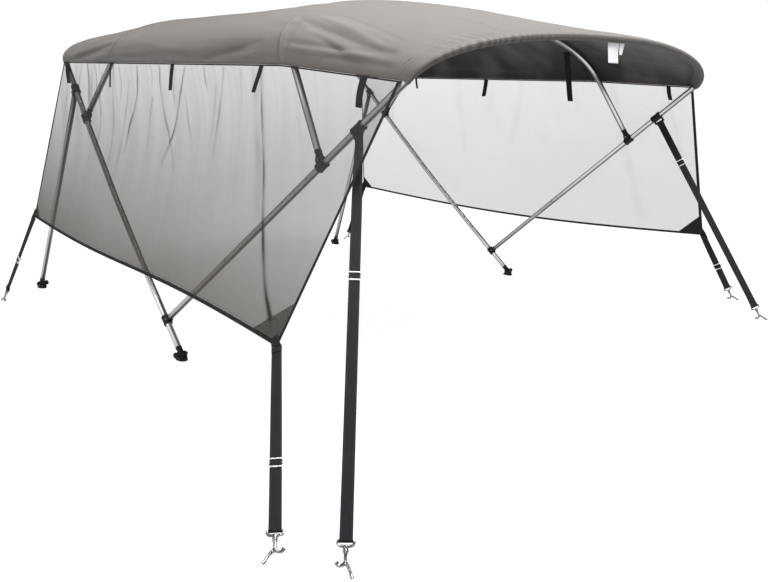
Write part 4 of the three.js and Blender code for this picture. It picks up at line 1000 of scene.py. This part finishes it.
def mesh_finish(name, dark, light, cover, shade_low_down=0.0, cover_fall_forward=0.0, patchy=0.06, pleat=0.0):
    """Open mesh: a cover of fine threads that lets the other light through. Its cover rises toward its foot by
    shade_low_down as painted shade and falls toward the front by cover_fall_forward (rises, where that is negative,
    as painted shade); it is warmer toward its foot, and darker in the pleats, partly for the denser look of
    folded mesh and partly as painted shade."""
    paint = Paint(name, Roughness=0.8, Specular_IOR_Level=0.1)
    u, v, _ = paint.axes(paint.place())
    knit, cloudy = paint.ribs(u, KNIT_PITCH) * paint.ribs(v, KNIT_PITCH), paint.noise(3.0)
    even = cover - patchy / 2 - KNIT_SHARE / 4
    cover = v * (shade_low_down / SPAN["height"]) + cloudy * patchy + knit * KNIT_SHARE + even
    cover = cover - u * (cover_fall_forward / SPAN["length"])
    colour = paint.mix(cloudy * 0.5 + v * (0.6 / SPAN["height"]) - 0.05, dark, light)
    if pleat:
        tone = paint.attribute("tone", 2)
        cover, colour = cover + tone * pleat, paint.mix(tone, colour, dark)
    paint.feed("Base Color", colour)
    paint.feed("Alpha", cover)
    paint.raise_by(knit, 0.0003, 0.6)
    return paint


# The starboard finishes are painted dark as painted shade and the port ones pale as painted light: one mesh in a shaded
# and a lit copy
MESH_INSIDES = [
    mesh_finish("mesh_inside_shaded", tint(0.30, 0.29, 0.28), tint(0.42, 0.41, 0.40), 0.07, patchy=0.02),
    mesh_finish("mesh_inside_lit", tint(0.72, 0.71, 0.72), tint(0.86, 0.85, 0.86), 0.2),
]
NEAR_DARK, NEAR_LIGHT = tint(0.016, 0.0142, 0.0150), tint(0.056, 0.0485, 0.0370)
MESH_OUTSIDES = [
    mesh_finish("mesh_outside_shaded", NEAR_DARK, NEAR_LIGHT, 0.345, 0.46, 0.06, pleat=0.42),
    mesh_finish("mesh_outside_lit", tint(0.10), tint(0.14), 0.11, 0.20, -0.10, pleat=0.25),
]

for side, boat_side in enumerate(SIDES):
    columns, rows = np.linspace(AFT, FORE, 501)[:, None], np.linspace(TOP, FOOT, 91)[None, :]
    face, out = wall_point(side, columns, rows)
    tone = wall_relief(side, *matched(columns, rows))[1]
    name, outside = f"wall_{boat_side['name']}", MESH_OUTSIDES[side]
    wall = thin_sheet(f"{name}_mesh", face, out, MESH, [outside, MESH_INSIDES[side], outside], tone)
    boat_side["flat"] = tuple(float(length) for length in spread_uv(face)[-1, -1])
    boat_side["wall"], boat_side["on_wall"] = fit(wall, "wall_mesh", name), []

# Wall bindings. Black polyester tape folded over the raw edge of the mesh on all four sides and sewn through
# with two rows of stitches. It is widest up the front edge and narrowest under the canopy's hem.
BINDING_WIDTH, SLIT, FOLD_RISE = 0.020, 0.0003, 0.0004
RIB_PITCH, TWILL_PITCH, TAPE_SEWING = 0.0016, 0.0021, {"pitch": 0.0042, "thread": 0.0006, "share": 0.68}
WEBBING_DARK, WEBBING_LIGHT = tint(0.0080, 0.0070, 0.0088), tint(0.0172, 0.0153, 0.0186)


def tape_finish(name, width=BINDING_WIDTH, rows=(), dark=WEBBING_DARK, light=WEBBING_LIGHT):
    """Woven tape: cross ribs, and rows of stitches at the given shares of its width."""
    paint = Paint(name, Roughness=0.75, Specular_IOR_Level=0.12)
    u, v, _ = paint.axes(paint.place())
    ribs = paint.ribs(u, RIB_PITCH) * 0.7 + paint.ribs(v, TWILL_PITCH) * 0.3
    cloth, height = paint.mix(paint.noise(25) * 0.7 + ribs * 0.3, dark, light), ribs
    if rows:
        sewn = paint.stitches([row * width for row in rows], v, u, **TAPE_SEWING)
        cloth, height = paint.mix(sewn, cloth, scaled(light, 2.1)), ribs + sewn * 0.8
    paint.feed("Base Color", cloth)
    paint.raise_by(height, 0.0005, 0.8)
    return paint


TAPE_DARK, TAPE_LIGHT = tint(0.0075, 0.0065, 0.0065), tint(0.016, 0.014, 0.0145)
binding_tape = tape_finish("binding_tape", BINDING_WIDTH, (0.16, 0.84), TAPE_DARK, TAPE_LIGHT)
# The tape's way round: the wall's corners and edges by name, and the places along the edges as shares
long_way, short_way = np.linspace(AFT, FORE, 361)[1:-1], np.linspace(TOP, FOOT, 81)[1:-1]
AROUND = [("aft", "top"), *((a, "top") for a in long_way), ("fore", "top"), *(("fore", d) for d in short_way)]
AROUND += [("fore", "foot"), *((a, "foot") for a in long_way[::-1]), ("aft", "foot")]
AROUND += [("aft", d) for d in short_way[::-1]]
RIM = {"aft": 0.0, "fore": 1.0, "top": 0.0, "foot": 1.0}
SEAM = {"aft": AFT - SLIT / SPAN["length"], "fore": FORE + SLIT / SPAN["length"]}
SEAM |= {"top": TOP - SLIT / SPAN["height"], "foot": FOOT + SLIT / SPAN["height"]}
TAPE_V = np.array([0, 0.001, 0.0185, 0.0197, BINDING_WIDTH, 0.0197, 0.0185, 0.001, 0])

for side, boat_side in enumerate(SIDES):
    (rim, rim_out), (seam, seam_out) = (
        wall_point(side, *(np.array([edges.get(place, place) for place in way], float) for way in zip(*AROUND)))
        for edges in (RIM, SEAM)
    )
    over_edge = unit(rim - seam)
    # From the seam inside the wall, round its edge, to the seam outside
    section = [
        seam - seam_out * MESH,
        seam - seam_out * (MESH + FOLD_RISE) + over_edge * 0.0008,
        rim - rim_out * (MESH + FOLD_RISE) - over_edge * 0.0015,
        rim - rim_out * (MESH * 0.8) - over_edge * 0.0003,
        rim - rim_out * (MESH * 0.5),
        rim - rim_out * (MESH * 0.2) - over_edge * 0.0003,
        rim + rim_out * FOLD_RISE - over_edge * 0.0015,
        seam + seam_out * FOLD_RISE + over_edge * 0.0008,
        seam,
    ]
    band = np.stack(section, 1)
    places = np.arange(band[..., 0].size).reshape(band.shape[:2])
    after, beside = np.roll(places, -1, axis=0), np.roll(places, -1, axis=1)
    faces = np.stack([places, beside, np.roll(beside, -1, axis=0), after], -1).reshape(-1, 4)
    faces = faces[:, :: -boat_side["sign"]]
    uvs = np.stack(np.broadcast_arrays(running(step_lengths(rim))[:, None], TAPE_V), -1).reshape(-1, 2)
    name = f"wall_binding_{boat_side['name']}"
    binding = object_from(f"{name}_tape", band.reshape(-1, 3) + BOAT, faces, [binding_tape], uvs)
    boat_side["on_wall"].append(fit(binding, "webbing", name))

# Corner patches. A second layer sewn on the outside of each lower corner, where the strap pulls: to starboard
# of the same mesh as the wall, and to port of solid black cloth with a lining of it inside.
PATCH, PATCH_GAP = 0.0012, 0.001
PATCHES = [(0, "fore", 0.135, 0.105), (0, "aft", 0.060, 0.060), (1, "fore", 0.110, 0.090), (1, "aft", 0.060, 0.060)]
patch_mesh = mesh_finish("patch_mesh", tint(0.024, 0.021, 0.016), tint(0.044, 0.039, 0.031), 0.46)
patch_cloth = tape_finish("patch_cloth")

for side, end, foot, up in PATCHES:
    inward, corner = (-1, FORE) if end == "fore" else (1, AFT)
    spans, turns = np.linspace(0.04, 1, 31)[:, None], np.linspace(0, 1, 31)[None, :]
    along = corner + inward * foot * spans * (1 - turns) / SPAN["length"]
    face, out = wall_point(side, along, FOOT - up * spans * turns / SPAN["height"])
    face = face + out * (PATCH_GAP + PATCH)
    name, finish = f"wall_patch_{SIDES[side]['name']}_{end}", (patch_mesh, patch_cloth)[side]
    patch = thin_sheet(f"{name}_cloth", face, out, PATCH, [finish, finish, patch_cloth])
    SIDES[side]["on_wall"].append(fit(patch, "webbing", name))
    if side == 1:
        face = face - out * (2 * PATCH_GAP + MESH + PATCH)
        lining = thin_sheet(f"{name}_lining", face, out, PATCH, [patch_cloth] * 3)
        SIDES[side]["on_wall"].append(fit(lining, "webbing"))

# Ties. Short tails of black webbing sewn on at the hem tape, outside the starboard wall and inside the port
# one, that tie a rolled-up wall out of the way. A longer one hangs free beside the forward inner bow.
TIE, TIE_GAP = 0.0016, 0.0008
# Each tie: its side and number, its place along the canopy, its width, length and swing
TIES = [
    (0, 1, 0.12, 0.032, 0.098, 0.046),
    (0, 2, 1.03, 0.012, 0.103, 0.024),
    (0, 3, 1.44, 0.025, 0.102, 0.008),
    (0, 4, 1.92, 0.024, 0.094, -0.010),
    (0, 5, 2.735, 0.031, 0.092, 0.030),
    (1, 1, 1.04, 0.014, 0.060, 0.016),
    (1, 2, 1.465, 0.027, 0.090, -0.014),
    (1, 4, 2.78, 0.022, 0.064, 0.008),
]
tie_webbing = tape_finish("tie_webbing")


def hang_tie(side, number, face, out):
    name = f"tie_{SIDES[side]['name']}_{number}"
    tie = thin_sheet(f"{name}_webbing", face, out, TIE, [tie_webbing] * 3)
    SIDES[side]["on_wall"].append(fit(tie, "webbing", name))


for side, number, along, width, length, swing in TIES:
    sign = SIDES[side]["sign"]
    middle = (smooth_cloth(along, float(side))[0] - X[0]) / LENGTH
    fall, half = np.linspace(0, 1, 25)[:, None], np.linspace(-1, 1, 9)[None, :]
    shift = (swing * fall**1.7 + sign * half * width / -2 * (1 - 0.06 * fall)) / SPAN["length"]
    face, out = wall_point(side, middle + shift, 0.002 + (length * fall + 0 * half) / SPAN["height"], False)
    # It hangs a little further off toward its end, waved and cupped
    stand = TIE_GAP + 0.002 * fall + 0.0015 * np.sin(fall * 5 + 9 * along) * fall + 0.0006 * half**2 * fall + 0.003
    lift = stand + TIE if sign < 0 else -MESH - stand
    hang_tie(side, number, face + out * lift[..., None], out)

FREE_TIE = {"place": (1.955, np.array([0.845])), "width": 0.034, "drop": np.array([0.027, 0.030, -0.255])}
point, out, _ = cloth_point(*FREE_TIE["place"])
forward = cloth_frame(*FREE_TIE["place"])[0][0]
top = point[0] - out[0] * (CLOTH + TIE_GAP + 0.0003)
look = unit(np.cross(forward, FREE_TIE["drop"]))
fall, half = np.linspace(0, 1, 33)[:, None, None], np.linspace(1, -1, 11)[None, :, None]
face = top + FREE_TIE["drop"] * fall + forward * half * FREE_TIE["width"] / 2 * (1 - 0.08 * fall)
face = face + look * 0.003 * np.sin(fall * 6) * fall
hang_tie(1, 3, face, np.broadcast_to(look, face.shape))

# Care label. Two layers of blank white satin, a tag with a short tab beside it, caught in the seam of the
# forward pocket.
LABEL = {"across": 0.486, "width": 0.086, "length": 0.076, "tab": 0.036, "tab_length": 0.044, "slot": 0.006}
label_satin = Paint("label_satin", Roughness=0.5, Sheen_Weight=0.2)
threads = label_satin.ribs(label_satin.axes(label_satin.place())[0], 0.0012)
label_satin.colour(threads, tint(0.46, 0.455, 0.47), tint(0.57, 0.57, 0.585))
label_satin.raise_by(threads, 0.0002, 0.5)
label_place = np.array([LABEL["across"]])
centre, _, out = (part[0] for part in pocket_frame(3.0, label_place, 1))
sideways = cloth_frame(3.0, label_place)[1][0]
upward = unit(ZENITH - sideways * sideways[2])
facing = np.cross(sideways, upward)
whole = LABEL["width"] + LABEL["slot"] + LABEL["tab"]
label_top = centre - out * (GRIP + 0.0004) + facing * 0.001


def label_piece(name, start, width, length, lean):
    right_way, fall = np.linspace(0, 1, 15)[None, :, None], np.linspace(0, 1, 19)[:, None, None]
    face = label_top + sideways * (start - whole / 2 + width * right_way) - upward * length * fall
    face = face + facing * (0.004 * np.sin(right_way * 4 + fall * 2 + start * 60) * fall + lean * fall**2)
    made = thin_sheet(name, face, np.broadcast_to(facing, face.shape), 0.001, [label_satin] * 3)
    return fit(made, "label", "care_label")


labels = [
    label_piece("label_tag", 0, LABEL["width"], LABEL["length"], 0.004),
    label_piece("label_tab", LABEL["width"] + LABEL["slot"], LABEL["tab"], LABEL["tab_length"], -0.003),
]

# Straps. Black polyester webbing 33.5 mm wide and 2.4 mm thick, doubled back through its slider and round the
# ring of its hook. The two bow straps hang from slides on the fore legs, the rest from the wall corners.
WEBBING, WEBBING_WIDTH = 0.0024, 0.0335
# How far each layer stands off the middle, the radius of its loops, how far the layers take to close and the
# strap takes to turn, then the sewn tail above the hook, the lap past the slider and the lap at a corner
LAYER, LOOP_RADIUS, NECK, TWIST = 0.0016, 0.0058, 0.024, 0.420
TAIL, LAP, CORNER_LAP = 0.055, 0.014, 0.040
HOOK_LENGTH, HOOK_RISE, HOOK_SEAT = 0.092, 0.002, 0.0014
EYE_BAR = {"reach": 0.031, "radius": 0.0035, "half": 0.022, "ear": 0.0045, "sleeve": 0.050}
# Each strap: its side and end, its tip on the ground, the slider's share of its length, how far aside the
# hook's claw curls, and its turn in degrees
STRAPS = [
    (0, "bow", (1.652, -1.902), 0.42, 0.019, 0),
    (0, "fore", (1.446, -2.010), 0.68, -0.031, 0),
    (0, "aft", (-1.502, -1.294), 0.58, -0.030, 60),
    (1, "bow", (1.523, 1.304), 0.22, 0.026, 0),
    (1, "fore", (1.253, 1.628), 0.60, 0.026, 0),
    (1, "aft", (-1.580, 1.340), 0.45, -0.026, 0),
]
strap_webbing = tape_finish("strap_webbing", WEBBING_WIDTH, (0.12, 0.88))
TAB = {"length": 0.040, "below": 0.024, "thick": 0.0016, "stand": 0.0036, "wider": 1.04, "cup": 0.0006}
TAB_OFFSET, WEBBING_STEP = 2 * (PATCH_GAP + PATCH) + 0.0004, 0.012


def strap_jaw(name, side, tip):
    """The slide that a bow strap is looped over: a collar, two arms and a round bar between them."""
    point, axis = jaw_at(side, "strap")
    down, half = tip - point, EYE_BAR["half"]
    away = unit(down - axis * (down @ axis))
    middle = point + away * EYE_BAR["reach"]
    pull = unit(tip - middle)
    square = unit(axis - pull * (axis @ pull))
    fitting = Fitting(f"{name}_moulding", nylon, steel)
    jaw_collar(fitting, point, axis, EYE_BAR["sleeve"])
    for end in (-1, 1):
        foot, eye = point + axis * end * half, middle + square * end * half
        arm = [foot, foot * 0.6 + eye * 0.4 + away * 0.001, eye, eye + unit(eye - foot) * 0.003]
        fitting.bar(arm, [0.0062, EYE_BAR["ear"], EYE_BAR["ear"] + 0.0008, 0.0025], square)
    fitting.bar([middle - square * half, middle + square * half], EYE_BAR["radius"], away)
    fitting.finish("nylon", name)
    return middle, square


class StrapRun:
    """A strap's own frame: its top, the way down it, and at each length the way across and the way out."""

    def __init__(self, top, tip, claw, turn, top_width):
        down = unit(tip - top)
        for _ in range(5):
            width = unit(FACING - down * (FACING @ down))
            width = np.array(Matrix.Rotation(math.radians(turn), 3, Vector(down)) @ Vector(width))
            end = tip - width * claw
            down = unit(end - top)
        first = unit(top_width - down * (top_width @ down))
        self.first = -first if first @ width < 0 else first
        self.top, self.down, self.width = top, down, width
        self.length = np.linalg.norm(end - top) - HOOK_LENGTH

    def at(self, length):
        share = min(max(length / TWIST, 0), 1)
        across = unit(self.first * (1 - share) + self.width * share)
        return across, np.cross(across, self.down)


def corner_tab(name, side, end, strap):
    """The square of webbing that sews a corner strap to the wall, over the tip of the patch, and turns to meet it."""
    out = wall_out(side, np.array([0.985 if end == "fore" else 0.015]), np.array([0.985]))[0]
    corner = wall_point(side, float(end == "fore"), 1.0, False)[0]
    up = unit(-strap.down - out * (-strap.down @ out))
    beside = np.cross(out, up)
    across, look = strap.at(0)
    across, look = across * np.sign(across @ beside), look * np.sign(look @ out)
    half = np.linspace(-1, 1, 9)[:, None]
    rows, outs = [], []
    for share in np.linspace(0, 1, 33):
        # It lies on the wall, turns on the way, and ends flat on the strap
        onto, turned, along = np.clip((share / 0.5, (share - 0.3) / 0.35, (share - 0.65) / 0.35), 0, 1)
        turned = turned * turned * (3 - 2 * turned)
        on_wall = corner + up * TAB["length"] * (1 - onto) + out * TAB_OFFSET
        on_strap = strap.top + strap.down * TAB["below"] * along + look * TAB["stand"]
        middle = on_wall * (1 - turned) + on_strap * turned
        way, facing = unit(beside * (1 - turned) + across * turned), unit(out * (1 - turned) + look * turned)
        rows.append(middle + way * half * WEBBING_WIDTH / 2 * TAB["wider"] + facing * TAB["cup"] * (1 - half**2))
        outs.append(np.broadcast_to(facing, (9, 3)))
    tab = thin_sheet(name, np.array(rows), np.array(outs), TAB["thick"], [strap_webbing] * 3)
    SIDES[side]["on_wall"].append(fit(tab, "webbing"))


def loop_round(length, way):
    turns = np.radians(np.linspace(0, 180, 13))
    return [(length + way * LOOP_RADIUS * math.sin(t), way * LOOP_RADIUS * math.cos(t)) for t in turns]


def strap_run(length, end, slider):
    """The strap's way as (length down it, offset out of it). A bow strap is doubled above its slider too."""
    if end != "bow":
        lower, ends = loop_round(length, 1)[::-1], (length - NECK, slider - LAP)
        return [(0.0006, 0), (CORNER_LAP, -LAYER), (ends[0], -LAYER), *lower, *((end, LAYER) for end in ends)]
    stations = [(station, LAYER) for station in np.linspace(NECK, slider, 50)]
    up = [(station, -LAYER) for station, _ in stations[::-1]]
    tail = [(length - TAIL, LAYER), (length - NECK, LAYER), *loop_round(length, 1), (length - NECK, -LAYER)]
    return [*tail, *up, *loop_round(0, -1), *stations, (slider + LAP, LAYER)]


def ribbon(name, strap, run):
    """The webbing along its way, in rows about a step apart."""
    dense = [run[0]]
    for before, after in zip(run[:-1], run[1:]):
        steps = max(1, int(abs(after[0] - before[0]) / WEBBING_STEP))
        shares = np.arange(1, steps + 1) / steps
        dense += [tuple(np.array(before) * (1 - share) + np.array(after) * share) for share in shares]
    rows, outs = [], []
    for k, (length, offset) in enumerate(dense):
        across, out = strap.at(length)
        way = unit(np.subtract(dense[min(k + 1, len(dense) - 1)], dense[max(k - 1, 0)]))
        look = unit(out * way[0] - strap.down * way[1])
        middle = strap.top + strap.down * length + out * offset + look * WEBBING / 2
        rows.append([middle + across * half * WEBBING_WIDTH / 2 for half in np.linspace(1, -1, 9)])
        outs.append([look] * 9)
    return thin_sheet(name, np.array(rows), np.array(outs), WEBBING, [strap_webbing] * 3)


# Sliders. Nickel-plated steel wire bent to a rounded frame, with a bar across its middle that the webbing is
# threaded round.
SLIDER = {"half": 0.0200, "tall": 0.0135, "wire": 0.0024, "bar": 0.0018, "side": 0.0020, "stand": 0.0045}
bright_wire = Paint("bright_plated_wire", Metallic=0.7, Roughness=0.25)
wire_grain = bright_wire.noise(220)
bright_wire.colour(wire_grain, tint(0.66), tint(0.9))
bright_wire.raise_by(wire_grain, 0.0003, 0.3)


def slider(name, strap, length):
    across, out = strap.at(length)
    centre = strap.top + strap.down * length
    half, tall, stand = SLIDER["half"], SLIDER["tall"], out * SLIDER["stand"]
    fitting = Fitting(f"{name}_wire", bright_wire)
    corners = np.array([(-1, 0), (-1, 1), (0, 1), (1, 1), (1, 0), (1, -1), (0, -1), (-1, -1)])
    points = []
    for start, run in zip(corners, np.roll(corners, -1, axis=0) - corners):
        for x, y in (start + run * t for t in (0, 0.25, 0.5, 0.75)):
            # The frame's corners are drawn in, and its lower and upper bars stand behind the webbing
            corner = max(abs(x) + abs(y) - 1.55, 0)
            place = across * x * half * (1 - 0.10 * corner) + strap.down * y * tall * (1 - 0.16 * corner)
            points.append(centre + place - stand * (abs(y) * (1 - 0.16 * corner) > 0.5))
    fitting.bar(points, SLIDER["wire"], out, closed=True, ring=12)
    fitting.bar([centre - across * half + stand, centre + across * half + stand], SLIDER["bar"], out, ring=12)
    for end in (-1, 1):
        side_bar = [centre + across * end * half + stand * depth for depth in (-1, 1)]
        fitting.bar(side_bar, SLIDER["side"], strap.down, ring=12)
    fitting.finish("steel", name)


# Hooks. Cast and nickel-plated: a ring as wide as the webbing, a swivel collar and stem, a long claw with a
# curled tip and a short thumb lobe that ends in a knob. The lines and radii of its bars are in millimetres.
STOUT = 1.35
HALF_RING = [(-17, 0), (-20.5, 2), (-20.5, 9), (-15, 14), (0, 14.5)]
HOOK_BARS = [
    ([*HALF_RING, *((-x, y) for x, y in HALF_RING[-2::-1])], [2.6, 2.6, 3.0, 2.6, 2.6]),
    ([(-18, 0), (18, 0)], [2.4, 2.4]),
    ([(0, 12), (0, 17), (0, 22), (0, 27), (0, 32)], [4.0, 5.6, 5.2, 5.6, 3.6]),
    ([(0, 27), (0, 40), (0, 50), (0, 60)], [4.2, 3.4, 3.3, 4.6]),
]


def hook(name, strap, claw):
    start = strap.top + strap.down * (strap.length + HOOK_SEAT)
    fitting = Fitting(f"{name}_casting", steel)
    lobe, reach = -math.copysign(1, claw), claw * 1000
    claw_line = [(0, 54), (reach * 0.30, 62), (reach * 0.62, 74), (reach * 0.8, 86), (reach, 92)]
    lobe_line = [(0, 54), (lobe * 9, 62), (lobe * 17, 62), (lobe * 22, 54)]
    bars = [*HOOK_BARS, (claw_line, [4.4, 3.6, 3.1, 3.0, 3.4, 3.9]), (lobe_line, [4.2, 3.4, 3.0, 3.6, 4.6])]
    for points, radii in bars:
        placed = [start + strap.width * x + strap.down * y for x, y in smooth_line(np.array(points) / 1000)]
        radii = np.interp(np.linspace(0, 1, len(placed)), np.linspace(0, 1, len(radii)), radii) * STOUT / 1000
        fitting.bar(placed, list(radii), np.cross(strap.width, strap.down), ring=18)
    # The tip rests on the ground
    for vertex in fitting.finish("steel", name).data.vertices:
        vertex.co.z = max(vertex.co.z, 0)


for side, end, place, slider_share, claw, turn in STRAPS:
    tip, name = np.array([*place, HOOK_RISE]), f"{SIDES[side]['name']}_{end}"
    if end == "bow":
        top, top_width = strap_jaw(f"jaw_{SIDES[side]['name']}_strap", side, tip)
    else:
        top, top_width = wall_point(side, float(end == "fore"), 1.0)[0], EAST
    strap = StrapRun(top, tip, claw, turn, top_width)
    if end != "bow":
        corner_tab(f"wall_tab_{name}", side, end, strap)
    slider_at = slider_share * strap.length
    webbing = ribbon(f"strap_{name}_webbing", strap, strap_run(strap.length, end, slider_at))
    fit(webbing, "webbing", f"strap_{name}")
    slider(f"slider_{name}", strap, slider_at)
    hook(f"hook_{name}", strap, claw)
